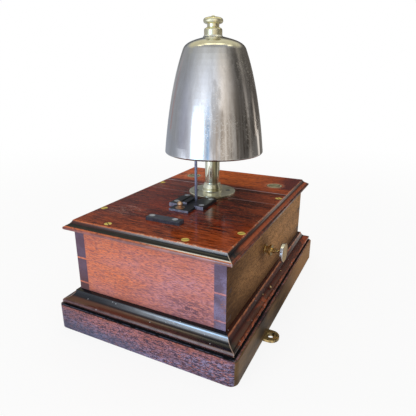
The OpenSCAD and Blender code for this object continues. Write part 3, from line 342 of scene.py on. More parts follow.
def side_board_paint(at, facing):
    """Brown-gold mahogany with painted shade to the front, round the tapper and under the lid; its ends show
    at the corners.
    """
    x, y, z = at.parts()
    bands, streaks = grain(at, ALONG_Y)
    dashes = flecks(at, ALONG_Y)
    speckle = at.noise(900, 900, 900, detail=2).rise(0.5, 0.66)
    # painted light: dark towards the front, bright and gold towards the back
    far = (y + at.noise(12, 12, 30) * 0.08).rise(-0.112, 0.01)
    low_edge = z.rise(BASE_TOP + 0.040, BASE_TOP + 0.016)
    # painted shade under the lid's overhang
    shade_under_lid = z.rise(LID_LOW - 0.014, LID_LOW - 0.001)
    wood = layers(
        mix(far, (0.046, 0.016, 0.006), (0.60, 0.30, 0.118)),
        (bands * 0.4, (0.11, 0.05, 0.02)),
        (streaks * 0.35, (0.44, 0.24, 0.10)),
        (dashes * 0.8, (0.045, 0.020, 0.009)),
        (low_edge * 0.6, (0.045, 0.018, 0.010)),
        (shade_under_lid * 0.6, (0.07, 0.03, 0.015)),
        # painted shadow round the tapper
        (spot(y, z, TAPPER_SHADOW, TAPPER_SHADOW_REACH) * 0.6, (0.05, 0.022, 0.012)),
    )
    is_end = abs(facing.parts()[1]).rise(0.5, 0.8)
    return {
        "Base Color": mix(is_end, wood, end_grain(at, x, z, speckle)),
        "Roughness": streaks * 0.12 + 0.5,
        "Specular IOR Level": 0.09,
        "Height": dashes * -0.05 + speckle * is_end * 0.05,
    }


finish("side_mahogany", side_board_paint, "case_left", "case_right")

# %% [markdown]
# ## Polish on the lid
# The lid is french polished. The polish is deep and nearly black in the middle, orange where cloths and
# hands have thinned it along the front and right edges, and brightest on the back board, which was cut
# from another plank. Each of these zones is a distance from an edge, made ragged by one shared noise.


# %% Lid polish
def lid_polish(at, rub, is_back, behind):
    """Red-brown polish with dark clouds and orange rubbed edges; and the grain's fine streaks."""
    x, y, _ = at.parts()
    bands, streaks = grain(at, ALONG_X)
    cloud = at.noise(12, 34, 12, detail=5, rough=0.6, warp=0.5).rise(0.40, 0.58)
    red_share = (cloud + x.rise(0.0, -0.05) * 0.45).below(1.0)
    front_rub = ((y * -1) + rub * 0.09).rise(0.125, 0.172)
    right_rub = (x + rub * 0.07).rise(0.078, 0.128) * (0.09 - y).rise(0, 0.08)
    left_dust = (x * -1 - 0.035).rise(0, 0.03) * (0.0 - y).rise(-0.02, 0.04)
    right_middle = x.rise(-0.02, 0.03) * (y + 0.105).rise(0, 0.03) * (1 - is_back)
    deep = at.noise(9, 24, 9, detail=3, rough=0.5).rise(0.46, 0.60) * right_middle
    figure = at.noise(38, 330, 38, detail=5, rough=0.68, warp=0.3)
    dark_grains = at.noise(150, 700, 150, detail=4, rough=0.75).rise(0.50, 0.62)
    bright_grains = at.noise(210, 560, 210, detail=3, rough=0.7).rise(0.58, 0.68)
    polish = layers(
        mix(red_share, (0.034, 0.004, 0.003), (0.28, 0.036, 0.015)),
        (y.past(BOARD_JOINTS[0]) * 0.35, (0.24, 0.055, 0.03)),
        (is_back * (cloud * 0.3 + 0.6), (0.66, 0.12, 0.026)),
        (behind.rise(0.008, 0.022) * (0.05 - x).rise(-0.02, 0.03) * 0.65, (0.95, 0.20, 0.025)),
        (left_dust * 0.5, (0.10, 0.045, 0.042)),
        (front_rub * 0.85, (0.36, 0.068, 0.014)),
        (right_rub * 0.8, (0.42, 0.078, 0.018)),
        (deep * 0.85, (0.026, 0.003, 0.003)),
        (bands * 0.3, (0.10, 0.014, 0.010)),
        (figure.rise(0.49, 0.62) * (front_rub * 0.45 + 0.4), (0.50, 0.095, 0.025)),
        (figure.rise(0.47, 0.37) * (front_rub * 0.3 + 0.5), (0.024, 0.004, 0.004)),
        (streaks * 0.35, (0.035, 0.007, 0.006)),
        (dark_grains * 0.7, (0.016, 0.004, 0.004)),
        (bright_grains * 0.45, (0.50, 0.16, 0.07)),
    )
    return polish, streaks


print("joints between the lid's boards at", BOARD_JOINTS)

# %% [markdown]
# ## Wear on the lid
# Over the polish lie the marks of use: pale scuffs at the left and before the stop bar, a stain, dots of
# ink on the back board, dust in the joints between the boards, and a rubbed ring round the two cups.
# They are kept apart from the polish because they are rough, so they also change the shine. A thin painted
# shadow line also circles each cup's rim.

# %% Lid wear
SCUFF, SCUFF_REACH = (-0.056, -0.087), (0.034, 0.03)
STOP_WEAR, STOP_REACH = (0.012, -0.103), (0.036, 0.018)
STAIN, STAIN_REACH = (-0.075, 0.026), (0.024, 0.02)


def scratches(at, x, y):
    """Fine pale scratches, thickest at the scuff and before the stop bar, from 0 to 1."""
    worn = spot(x, y, SCUFF, SCUFF_REACH) * 1.3 + spot(x, y, STOP_WEAR, STOP_REACH) * 1.1
    scratch = at.noise(70, 420, 70, detail=4, rough=0.75, warp=1.5)
    broad = scratch.rise(0.53, 0.62) * worn.below(1.0)
    return broad.above(scratch.rise(0.62, 0.68) * 0.3)


def lid_wear(at, polish, marks, rub, is_back, behind):
    """The polish with its marks of use, and a painted shadow line round each cup."""
    x, y, _ = at.parts()
    stain = spot(x, y, STAIN, STAIN_REACH) * at.noise(60).rise(0.35, 0.55)
    dots = at.cells(34).rise(0.085, 0.05) * y.rise(0.09, 0.11)
    cup_x, cup_y = abs(x) - CUP_X * MM, y - CUP_Y * MM
    cup_r = (cup_x * cup_x + cup_y * cup_y).maths("SQRT")
    cup_halo = is_back * cup_r.rise(17 * MM, 11 * MM) * rub.rise(0.40, 0.60)
    by_joint = behind.rise(0.014, 0.002) * (0.06 - x).rise(-0.01, 0.05)
    far_corner = behind.rise(0.018, 0.030) * (x + rub * 0.03).rise(0.07, 0.095)
    back_dust = y.near(BOARD_JOINTS[1], 1.3 * MM) * (rub.rise(0.3, 0.5) * 0.5 + 0.5)
    front_dust = y.near(BOARD_JOINTS[0], 1.0 * MM) * (rub.rise(0.35, 0.55) * 0.5 + 0.35)
    return layers(
        polish,
        (stain * 0.5, (0.24, 0.17, 0.13)),
        (marks * 0.6, (0.56, 0.27, 0.20)),
        (dots * 0.85, (0.02, 0.008, 0.006)),
        (is_back * by_joint * 0.75, (0.035, 0.006, 0.006)),
        (is_back * far_corner * 0.75, (0.06, 0.014, 0.024)),
        (cup_halo * 0.6, (0.72, 0.26, 0.13)),
        # a thin painted shadow line at each cup's rim
        (cup_r.near(10.4 * MM, 0.7 * MM) * 0.8, (0.02, 0.010, 0.010)),
        (back_dust, (0.66, 0.52, 0.55)),
        (front_dust, (0.58, 0.36, 0.34)),
    )


print("cups at", CUP_X, CUP_Y, "mm")

# %% [markdown]
# ## The lid's moulded edge
# Round the lid runs a small cove, then a ledge, then a rounded nose. In front the cove is ebonised and
# the ledge and nose are worn back to the wood. At the sides the stain is almost gone. The distance
# beyond the walls says which of the three a point is on, and one more value tells side from front.


# %% Lid edge
def overhang(at):
    """How far a point lies outside the walls, and 1 on the sides as against front and back."""
    x, y, _ = at.parts()
    out_x, out_y = abs(x) - HALF_W, abs(y) - HALF_D
    return out_x.above(out_y), (out_x - out_y).past(0)


def mitre_line(x, y, out, width, start, end):
    """The thin line where mitred sticks meet at a corner, fading in from start to end beyond the walls."""
    off = abs(abs(x) - HALF_W - abs(y) + HALF_D)
    return off.rise(width * MM, 0.1 * MM) * out.rise(start * MM, end * MM)


BLACK = (0.006, 0.007, 0.010)


def ebony(patchy):
    """The black stain, a little browner where it is thin."""
    return mix(patchy.rise(0.5, 0.8), BLACK, (0.026, 0.018, 0.018))


def lid_cove(x, y, out, side, patchy, fine):
    """Ebonised in front, browner at its left end; worn to the wood along the sides."""
    left = (x * -1 + patchy * 0.06).rise(0.02, 0.10)
    front = layers(ebony(patchy), (left * out.rise(3.4 * MM, 1.6 * MM) * 0.6, (0.10, 0.032, 0.022)))
    near_corner = (y * -1).rise(0.105, 0.132)
    sides = layers(
        mix(out.rise(2.2 * MM, 4.2 * MM), (0.045, 0.013, 0.009), (0.34, 0.075, 0.026)),
        (near_corner * patchy.rise(0.3, 0.5), BLACK),
        (fine.rise(0.5, 0.64) * 0.5, (0.05, 0.018, 0.012)),
    )
    return mix(side, front, sides)


def lid_edge(at, facing, out, side, patchy, fine):
    """Cove, ledge and nose, with a pale line at the cove's foot, dust in the mitres and painted shade on
    faces that look down.
    """
    x, y, _ = at.parts()
    ledge = mix(fine.rise(0.48, 0.64), (0.58, 0.15, 0.06), (0.26, 0.06, 0.035))
    nose = mix(patchy.rise(0.38, 0.62), (0.40, 0.13, 0.11), (0.20, 0.055, 0.045))
    side_nose = mix(patchy.rise(0.42, 0.6), (0.20, 0.045, 0.02), (0.05, 0.014, 0.01))
    thin_line = out.near(6.3 * MM, 0.75 * MM) * x.rise(-0.015, 0.055) * (1 - side)
    return layers(
        lid_cove(x, y, out, side, patchy, fine),
        (out.rise(6.25 * MM, 6.5 * MM), mix(side, ledge, side_nose)),
        (out.rise(7.7 * MM, 8.1 * MM), mix(side, nose, side_nose)),
        (thin_line * 0.9, (0.80, 0.74, 0.60)),
        # painted shade on faces that look down, under the nose
        (facing.parts()[2].rise(-0.2, -0.7), (0.16, 0.035, 0.03)),
        (mitre_line(x, y, out, 0.75, 0.8, 2) * 0.7, (0.66, 0.55, 0.44)),
    )


# %% [markdown]
# ## The whole lid
# Here the parts of the lid come together. The cove's hollow is deepened in the bump, because its light
# gathers in one sharp line, and a glossy coat lies only on what is ebonised. On the real lid that coat
# is shellac over stain.


# %% Lid
def lid_paint(at, facing):
    """The polished top and, outside the walls, the moulded edge with its worn arris."""
    x, y, z = at.parts()
    out, side = overhang(at)
    rub = at.noise(22, 60, 22, detail=4, rough=0.6)
    is_back = y.past(BOARD_JOINTS[1])
    behind = y - BOARD_JOINTS[1] + rub * 0.03 - 0.015
    polish, streaks = lid_polish(at, rub, is_back, behind)
    marks = scratches(at, x, y)
    top = lid_wear(at, polish, marks, rub, is_back, behind)
    patchy = at.noise(45, 45, 45, detail=4, rough=0.6)
    fine = at.noise(300, 300, 300, detail=3, rough=0.65)
    edge = lid_edge(at, facing, out, side, patchy, fine)
    arris = out.near(0.1 * MM, 1.1 * MM) * patchy.rise(0.36, 0.54)
    bare = mix(fine.rise(0.5, 0.66) * x.rise(-0.06, 0.06), (0.66, 0.17, 0.05), (0.85, 0.6, 0.42))
    down = (LID_TOP - z) * (1 / MM)
    hollow = down.below(3.0)
    hollow = (hollow * 0.24 + hollow * hollow * 0.060) * out.rise(0.2 * MM, 0.4 * MM)
    shine = (out.rise(0.4 * MM, 0.6 * MM) * down.rise(3.0, 2.2)).above(out.rise(7.2 * MM, 7.6 * MM) * 0.25)
    return {
        "Base Color": layers(
            mix(out.rise(0.35 * MM, 0.6 * MM), top, edge),
            (arris * (0.85 - side * 0.35), bare),
        ),
        "Roughness": marks * 0.25 + patchy * 0.08 + 0.05,
        "Specular IOR Level": 0.28,
        "Coat Weight": shine * (1 - side) * x.rise(-0.085, 0.05),
        "Coat IOR": 4.0,
        "Coat Roughness": 0.04,
        "Height": marks * -0.05 + streaks * 0.012 - hollow,
    }


finish("polished_lid", lid_paint, "lid_front", "lid_middle", "lid_back", round=0.3)

# %% [markdown]
# ## Moulding round the foot
# The moulding is planed from one length of wood and mitred at the corners: a fillet, a hollow cove, a
# round lip and a recess below it. In front it is ebonised and glossy, brown where it is rubbed thin at
# the left. Heights are above the base, and out is the distance beyond the walls.


# %% Foot moulding in front and at the sides
def foot_front(x, patchy, worn, hollow, is_lip):
    """Black and glossy, browner in the hollow's left half and along the lip."""
    left = (x * -1 + patchy * 0.1).rise(-0.03, 0.07) * (x + patchy * 0.05).rise(-0.115, -0.06)
    lip = mix(worn.rise(0.42, 0.6), (0.15, 0.06, 0.06), (0.07, 0.022, 0.022))
    return layers(
        ebony(patchy),
        (hollow * left * 0.8, (0.12, 0.034, 0.020)),
        (is_lip * (0.55 + worn * 0.5).below(1.0), lip),
    )


def foot_side(y, out, patchy, worn, hollow, is_lip):
    """Red-brown wood with a bright fillet, a dark quirk, and black left only near the front corner."""
    near_corner = (y * -1).rise(HALF_D - 0.004, HALF_D + 0.008)
    return layers(
        mix(patchy.rise(0.38, 0.6), (0.095, 0.017, 0.009), (0.028, 0.007, 0.005)),
        (out.rise(4.2 * MM, 3.2 * MM) * 0.7, (0.035, 0.010, 0.007)),
        (hollow * patchy.rise(0.48, 0.6) * 0.75, (0.40, 0.075, 0.022)),
        (is_lip * worn.rise(0.42, 0.58) * 0.8, (0.46, 0.10, 0.03)),
        (out.near(6.6 * MM, 1.8 * MM) * 0.75, (0.035, 0.012, 0.011)),
        (out.near(3.9 * MM, 0.8 * MM) * worn.rise(0.35, 0.55) * 0.8, (0.62, 0.20, 0.08)),
        (near_corner * patchy.rise(0.3, 0.5) * 0.9, BLACK),
    )


print("the foot moulding stands on the base at", BASE_TOP)

# %% [markdown]
# The two looks are joined here. Four materials, one for each stick, would change in a hard line at the
# mitres. One formula lets the black creep round the corners, as it does on the real moulding. The pale
# mitre lines, the dust and the recess are laid over both.


# %% Foot moulding
def foot_moulding_paint(at, facing):
    """Front and side finishes with pale mitres, a few specks of dust and a black recess."""
    x, y, z = at.parts()
    out, side = overhang(at)
    above = z - BASE_TOP
    patchy = at.noise(28, 28, 40, detail=5, rough=0.6, warp=0.4)
    worn = at.noise(120, 120, 300, detail=4, rough=0.7)
    hollow = out.rise(6.5 * MM, 9 * MM) * above.rise(5.2 * MM, 6.6 * MM)
    is_lip = above.rise(6.9 * MM, 6.0 * MM) * out.rise(12.6 * MM, 13.6 * MM)
    recess = above.rise(2.2 * MM, 1.5 * MM)
    dust = at.cells(120).rise(0.10, 0.05)
    front = foot_front(x, patchy, worn, hollow, is_lip)
    deep = (13.5 - above * (1 / MM)).below(3.6)
    shine = (above.rise(9.2 * MM, 10.8 * MM) * above.rise(15.0 * MM, 13.6 * MM)).above(is_lip * 0.5)
    return {
        "Base Color": layers(
            mix(side, front, foot_side(y, out, patchy, worn, hollow, is_lip)),
            (mitre_line(x, y, out, 0.8, 4, 5) * 0.75, (0.62, 0.42, 0.32)),
            (dust * 0.6, (0.55, 0.56, 0.6)),
            (recess, (0.012, 0.009, 0.009)),
        ),
        "Roughness": worn * 0.12 + recess * 0.3 + side * 0.08 + 0.05,
        "Specular IOR Level": 0.4,
        "Coat Weight": shine * (1 - side) * x.rise(-0.07, 0.05) * (worn.rise(0.7, 0.4) * 0.3 + 0.7),
        "Coat IOR": 3.2,
        "Coat Roughness": 0.035,
        "Height": worn * 0.03 + patchy * 0.1 - deep * deep * 0.048,
    }


PLINTHS = ("plinth_front", "plinth_back", "plinth_left", "plinth_right")
finish("ebonised_plinth", foot_moulding_paint, *PLINTHS, round=0.35)

# %% [markdown]
# ## Base board
# The base has had the hardest life. Its front is bleached to purple-grey with red-orange flecks where
# the old stain is left, and bluer and darker at the lower left. Its sides are olive-brown. Two formulas
# and a switch on the way the surface faces are simpler than two materials, because the rounded corners
# then blend from one to the other.


# %% Base board in front and at the sides
def base_front(at, x, z, grit, chipped):
    """Bleached purple-grey, gritty, with red flecks, a dark left end and a red line along the top."""
    blotch = at.noise(16, 16, 70, detail=4, rough=0.55)
    red_flecks = at.noise(190, 190, 900, detail=3, rough=0.65, warp=0.4).rise(0.53, 0.60)
    red_share = (blotch * 0.9 + z * 14 - abs(x + 0.03) * 1.6).rise(0.42, 0.86)
    dark_flecks = at.noise(420, 420, 1500, detail=3, rough=0.6).rise(0.50, 0.60)
    low_left = (0.012 - z + blotch * 0.012).rise(0.0, 0.012) * (x * -1 + 0.03).rise(0, 0.06)
    left_end = (x * -1 + blotch * 0.05).rise(0.07, 0.13)
    top_line = z.near(BASE_TOP - 1.2 * MM, 1.6 * MM) * chipped.rise(0.42, 0.54)
    return layers(
        mix(grit.rise(0.46, 0.54), (0.34, 0.29, 0.47), (0.070, 0.050, 0.090)),
        (red_flecks * 0.7, (0.66, 0.23, 0.17)),
        (red_share * grit.rise(0.58, 0.46) * 0.75, (0.56, 0.16, 0.09)),
        (dark_flecks * 0.85, (0.030, 0.020, 0.034)),
        (blotch.rise(0.54, 0.70) * 0.4, (0.09, 0.045, 0.055)),
        (low_left * 0.6, (0.075, 0.09, 0.15)),
        (left_end * 0.55, (0.045, 0.035, 0.055)),
        (top_line * 0.6, (0.62, 0.22, 0.17)),
    )


def base_side(at, y, z):
    """Olive-brown, with painted light making it brighter to the back, and a dark patch low near the front."""
    cloud = at.noise(30, 14, 60, detail=4).rise(0.38, 0.62)
    streak = at.noise(240, 45, 620, detail=3, rough=0.6).rise(0.48, 0.64)
    # a dark patch low near the front
    stain = (y + 0.082).near(0, 0.028) * (z + at.noise(40) * 0.01).rise(0.002, 0.018)
    return layers(
        mix(cloud, (0.165, 0.092, 0.034), (0.065, 0.034, 0.013)),
        (streak * 0.4, (0.06, 0.034, 0.018)),
        ((z * -1 + BASE_TOP).near(3.4 * MM, 1.6 * MM) * 0.4, (0.22, 0.06, 0.035)),
        (stain * 0.9, (0.022, 0.014, 0.012)),
        # painted light: brighter and more golden towards the back
        (y.rise(-0.03, 0.10) * 0.75, (0.50, 0.26, 0.11)),
    )


print("the base is", BASE_TOP / MM, "mm thick")

# %% [markdown]
# On top of the base only a narrow ledge shows beside the moulding. It is black, with a thin painted
# highlight along it. The edges are chipped, so their colour follows the same coarse noise as the bump.


# %% Base board
def base_paint(at, facing):
    """Front and sides, and the black ledge beside the moulding with a thin painted highlight on it."""
    x, y, z = at.parts()
    side = (abs(facing.parts()[0]) - abs(facing.parts()[1])).rise(-0.1, 0.1)
    grit = at.noise(220, 220, 900, detail=3, rough=0.7)
    chipped = at.noise(140, 140, 140, detail=4, rough=0.65)
    is_top = facing.parts()[2].rise(0.4, 0.7)
    out, at_side = overhang(at)
    ledge = is_top * (out + at_side * 1.4 * MM).rise(18.0 * MM, 17.2 * MM)
    # a thin painted highlight along the ledge, broken up by the chipped noise
    painted_highlight = ledge * out.near(16.1 * MM, 0.7 * MM) * (1 - at_side) * chipped.rise(0.40, 0.56)
    edge = (z + chipped * 2 * MM).rise(BASE_TOP - 0.9 * MM, BASE_TOP - 0.2 * MM) * (1 - is_top)
    corner = (abs(x) - 0.105).rise(0, 0.003) * (abs(y) - 0.153).rise(0, 0.003) * chipped.rise(0.52, 0.6)
    return {
        "Base Color": layers(
            mix(side, base_front(at, x, z, grit, chipped), base_side(at, y, z)),
            (edge * 0.5, BLACK),
            (ledge, BLACK),
            (painted_highlight * 0.8, (0.20, 0.22, 0.34)),
            (corner * 0.7, (0.46, 0.36, 0.36)),
        ),
        "Roughness": grit * 0.2 + 0.42,
        "Specular IOR Level": 0.18,
        "Height": grit * 0.08 + chipped * 0.15,
    }


finish("base_mahogany", base_paint, "base_board", round=0.9)

# %% [markdown]
# ## Wood inside the case
# The two blocks behind the side walls are offcuts that nobody polished. They are hidden unless the case
# is opened, so plain pale wood with its streaks is enough.


# %% Blocks inside
def offcut_paint(at, facing):
    """Pale raw wood, streaked along its length."""
    _, streaks = grain(at, ALONG_Y)
    return {"Base Color": mix(streaks, (0.5, 0.3, 0.17), (0.36, 0.2, 0.1)), "Roughness": 0.6}


finish("plain_wood", offcut_paint, "cover_blocks")

# %% [markdown]
# ## Springs
# The contact's blade is a strip of springy brass that the tapper pushes over, and the return spring pulls
# the hammer's lever back. Both flex when their joints move. A solid that rides on the case would stay
# stiff and be cut through. So each is shown by a copy of its solid, cut into short lengths between the
# end that stays with the case and the end at the moving body.


# %% Springs
def flexing(node, fixed_at, moving_at, lengths=14):
    """A copy of a spring in place of its solid, cut into short lengths between its fixed and its moving end.
    """
    mesh = nodes[node].data.copy()
    mesh.transform(nodes[node].matrix_world)
    start, end = Vector(fixed_at), Vector(moving_at)
    work = bmesh.new()
    work.from_mesh(mesh)
    bmesh.ops.remove_doubles(work, verts=work.verts[:], dist=0.001 * MM)
    for i in range(lengths + 1):
        whole = work.verts[:] + work.edges[:] + work.faces[:]
        bmesh.ops.bisect_plane(work, geom=whole, plane_co=start.lerp(end, i / lengths), plane_no=end - start)
    work.to_mesh(mesh)
    work.free()
    made = bpy.data.objects.new("flexing_" + node, mesh)
    bpy.context.scene.collection.objects.link(made)
    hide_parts(node)
    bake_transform(made)
    print(made.name, "in", lengths, "lengths,", len(mesh.vertices), "points")
    return made


# %% [markdown]
# The blade stands on its block and is pushed near its tip by the plunger's rod. The return spring hooks
# on the bracket's pillar and on the lever. Both places are measured from the solids.

# %% The two springs
blade_low, blade_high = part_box("contact_blade")
rod_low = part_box("plunger_rod")[0]
blade_y = (blade_low.y + blade_high.y) / 2
blade_foot = (blade_low.x, blade_y, blade_low.z + 2 * MM)
blade_push = (blade_low.x, blade_y, rod_low.z - 1 * MM)
blade = flexing("contact_blade", blade_foot, blade_push)
spring_low, spring_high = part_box("return_spring")
spring_z = (spring_low.z + spring_high.z) / 2
pillar_end = (0, spring_high.y - 6 * MM, spring_z)
lever_end = (0, spring_low.y + 10 * MM, spring_z)
spring = flexing("return_spring", pillar_end, lever_end)

# %% [markdown]
# ## Metal
# Metal shows the room, so its own colour is only half of its look. The rest is how far the polish has
# gone dull. One function makes the paint for every plain metal piece from a bright colour and a dull
# one, laid in patches, with fine scratches in the bump. Where lacquer or dirt covers the metal, less of
# it is bare, and it shows its own colour more and the room less.


# %% Metals
def metal(bright, dull, tarnish=0.5, rough=0.2, size=90, bare=1.0):
    """A paint function for metal: bright colour, dull patches, their size and the bare metal's share."""

    def paint(at, facing):
        patch = at.noise(size, size, size, detail=5, rough=0.65).rise(0.4, 0.66)
        fine_marks = at.noise(900, 900, 2600, detail=2, rough=0.6)
        return {
            "Base Color": mix(patch * tarnish, bright, dull),
            "Metallic": (1 - patch * 0.3) * bare,
            "Roughness": patch * tarnish * 0.25 + fine_marks * 0.1 + rough,
            "Height": fine_marks * 0.006,
        }

    return paint


print("metal() makes the paint for each plain metal piece")

# %% [markdown]
# ## The bell
# The bell is cast and plated, then polished on a lathe, which leaves soft upright streaks. Its shoulder
# has a warm tint, a painted reflection of warm light, and the side towards the tapper is pitted and has
# dark upright streaks, painted dark reflections. The shape comes from the solid, and a very low, broad
# bump makes the reflections waver as they do on a hand-finished casting.


# %% Bell
def bell_paint(at, facing):
    """Plated: streaks, specks, a warm painted reflection on top, pits and painted dark reflections towards
    the tapper.
    """
    x, y, z = at.parts()
    # the top, where a warm painted reflection tints the colour
    crown = z.rise(BELL_TOP.z - 0.05, BELL_TOP.z - 0.005)
    cloud = at.noise(28, 28, 18, detail=4, rough=0.6).rise(0.38, 0.64)
    streaks = at.noise(110, 110, 5, detail=4, rough=0.6).rise(0.38, 0.62)
    speck = at.cells(230).rise(0.12, 0.06) * at.noise(30, 30, 30).rise(0.45, 0.6)
    pitted = (x * 0.93 - (y - BELL_Y) * 0.37).rise(0.022, 0.046)
    spread = at.noise(45, 45, 30, detail=3).rise(0.42, 0.6)
    pits = at.noise(380, 380, 380, detail=4, rough=0.75).rise(0.52, 0.64) * pitted * spread
    # dark upright streaks on the tapper's side, painted reflections
    painted_dark_reflections = at.noise(60, 60, 9, detail=5, rough=0.7).rise(0.47, 0.60) * pitted
    upper = z.rise(BELL_LOW.z + 0.03, BELL_TOP.z - 0.05)
    return {
        "Base Color": layers(
            mix(cloud, (0.76, 0.75, 0.745), (0.66, 0.655, 0.66)),
            (streaks * 0.4, (0.50, 0.47, 0.44)),
            (crown * 0.4, (0.70, 0.68, 0.58)),
            (speck * 0.7, (0.9, 0.93, 0.95)),
            (painted_dark_reflections * 0.6, (0.30, 0.285, 0.27)),
            (pits * 0.6, (0.82, 0.80, 0.76)),
        ),
        "Metallic": 1.0,
        "Roughness": upper * 0.07 + pits * 0.3 + streaks * 0.03 + 0.07,
        "Height": pits * -0.02 + at.noise(36, 36, 13, detail=2) * 0.16,
    }


finish("plated_bell", bell_paint, "bell", round=0.2)

# %% [markdown]
# ## The post and its nuts
# Flange, collar and column are turned from one bar of brass and lacquered. Three dark bands up the column
# are painted reflections, and the lacquer has browned in patches. The bands are a sine of the angle round
# the post, with its phase shaken by fine upright lines, so their edges look brushed.


# %% Post
def post_paint(at, facing):
    """Turned and lacquered brass, with three dark painted reflection bands up the column and browned patches.
    """
    x, y, _ = at.parts()
    angle = x.maths("ARCTAN2", BELL_Y - y)
    lines = at.noise(420, 420, 6, detail=3, rough=0.7)
    # three dark bands round the column, painted reflections
    painted_reflection_bands = (angle * 3 + (lines * 0.9 - 1.15)).maths("SINE").rise(0.0, 0.75)
    upright = abs(facing.parts()[2]).rise(0.8, 0.5)
    patch = at.noise(90, 90, 90, detail=4).rise(0.45, 0.65)
    painted_bands_on_column = painted_reflection_bands * upright * (lines.rise(0.3, 0.6) * 0.3 + 0.7)
    on_flange = (1 - upright) * (patch * 0.3 + 0.1)
    brown = painted_bands_on_column.above(patch * 0.12).above(on_flange)
    return {
        "Base Color": mix(brown * 0.9, (1.0, 0.98, 0.76), (0.16, 0.14, 0.055)),
        "Metallic": 0.85 - (1 - upright) * 0.3,
        "Roughness": brown * 0.12 + 0.05,
        "Height": lines * 0.01,
    }


finish("turned_brass", post_paint, "bell_post")
PALE_BRASS = metal((0.86, 0.81, 0.55), (0.55, 0.50, 0.32), 0.3, 0.06, size=60)
finish("pale_brass", PALE_BRASS, "post_nut", "thumb_nut")

# %% [markdown]
# ## Working brass
# The hammer's lever and bracket, the contacts and the terminals were made to work, not to be seen. Their
# brass is darker and less polished. The tapper's rod and bush show outside and are brown from fingers,
# the lugs are nearly black in patches, and the slide's small knob is redder than the rest.

# %% Working brass
MOVEMENT = ("hammer_head", "hammer_lever", "pivot_bracket", "stop_screw", "stop_locknut", "movement_screws")
CONTACTS = ("block_screws", "terminals", "contact_blade", "contact_anvil")
WORKING_BRASS = metal((0.78, 0.6, 0.3), (0.45, 0.32, 0.14), 0.5, 0.22)
finish("working_brass", WORKING_BRASS, *MOVEMENT, *CONTACTS, blade)
TAPPER_BRASS = metal((0.80, 0.58, 0.25), (0.16, 0.09, 0.035), 0.85, 0.12, size=260)
finish("tapper_brass", TAPPER_BRASS, "plunger_rod", "plunger_collar", "plunger_bush")
LUG_BRASS = metal((0.62, 0.48, 0.24), (0.035, 0.028, 0.018), 1.0, 0.2, size=230)
finish("lug_brass", LUG_BRASS, "fixing_lugs")
KNOB_BRASS = metal((0.72, 0.48, 0.32), (0.42, 0.26, 0.16), 0.5, 0.25)
finish("knob_brass", KNOB_BRASS, "slide_knob")

# %% [markdown]
# ## Screws and cups in the lid
# The slots are cut in the solids, but a slot seen at a low angle shows only the top of one wall. What
# makes it read is the shade in it. So the paint puts painted shade on everything below the head, and
# draws a line of it along each slot and a ring of it in each cup.


# %% Painted shade in slots
def slot_shade(x, y, slots):
    """1 along screw slots. A slot is its screw's x and y in millimetres and its turn in degrees."""
    painted_shade = []
    for centre_x, centre_y, turn in slots:
        c, s = math.cos(math.radians(turn)), math.sin(math.radians(turn))
        right, up = x - centre_x * MM, y - centre_y * MM
        across, along = up * c - right * s, up * s + right * c
        # a line of painted shade along the slot
        painted_shade.append(across.near(0, 0.95 * MM) * abs(along).rise(5 * MM, 4.6 * MM))
    return painted_shade


def ring_shade(x, y, inner, outer):
    """1 in a ring round each cup's middle, between two radii in millimetres."""
    right, up = abs(x) - CUP_X * MM, y - CUP_Y * MM
    radius = (right * right + up * up).maths("SQRT")
    return radius.near((inner + outer) / 2 * MM, (outer - inner) / 2 * MM)


def with_painted_shade(look, high, slots=(), ring=None):
    """The same paint, with painted shade below a height, along slots and in a ring."""

    def paint(at, facing):
        inputs = look(at, facing)
        x, y, z = at.parts()
        # painted shade on everything below the head's top
        painted_shade = z.rise(high, high - 0.08 * MM)
        rings = [ring_shade(x, y, *ring)] if ring else []
        for more in slot_shade(x, y, slots) + rings:
            painted_shade = painted_shade.above(more)
        inputs["Base Color"] = mix(painted_shade * 0.9, inputs["Base Color"], (0.035, 0.022, 0.010))
        return inputs

    return paint


# %% [markdown]
# The screws of the lid have yellow brass heads, and each slot points as it does in the photograph. The
# cups in the back board are duller, with a ring of painted shade in the hollow. Their screws are the dullest.

# %% Screws and cups
SIDE_SCREW_X, JOINT = 85.6, BOARD_JOINTS[0] / MM
LID_SLOTS = [
    (-48.5, -131, -35),
    (43.7, -131, 35),
    (-SIDE_SCREW_X, -93, -10),
    (SIDE_SCREW_X, -93, 50),
    (-SIDE_SCREW_X, JOINT + 26, 50),
    (SIDE_SCREW_X, JOINT + 26, -50),
]
SCREW_BRASS = metal((0.92, 0.72, 0.16), (0.60, 0.42, 0.10), 0.5, 0.3, size=300, bare=0.45)
finish("screw_brass", with_painted_shade(SCREW_BRASS, LID_TOP - 0.02 * MM, LID_SLOTS), "lid_screws")
finish("lug_screws", SCREW_BRASS, "lug_screws")
CUP_BRASS = metal((0.88, 0.82, 0.55), (0.26, 0.23, 0.14), 0.9, 0.22, size=200, bare=0.5)
finish("cup_brass", with_painted_shade(CUP_BRASS, LID_TOP - 0.1 * MM, ring=(7.0, 8.6)), "cover_cups")
CUP_SCREW_BRASS = metal((0.50, 0.46, 0.28), (0.12, 0.11, 0.06), 0.9, 0.25, size=420, bare=0.5)
finish("cup_screws", with_painted_shade(CUP_SCREW_BRASS, LID_TOP - 0.3 * MM), "cover_screws")

# %% [markdown]
# ## Steel and iron
# The hammer's rod is blued steel, which is an oxide film and not a paint, so it stays metal with a blue
# colour. The magnet's cores and armature are soft iron, dull and grey. Small steel screws have lost
# their blue and show pale, worn heads.

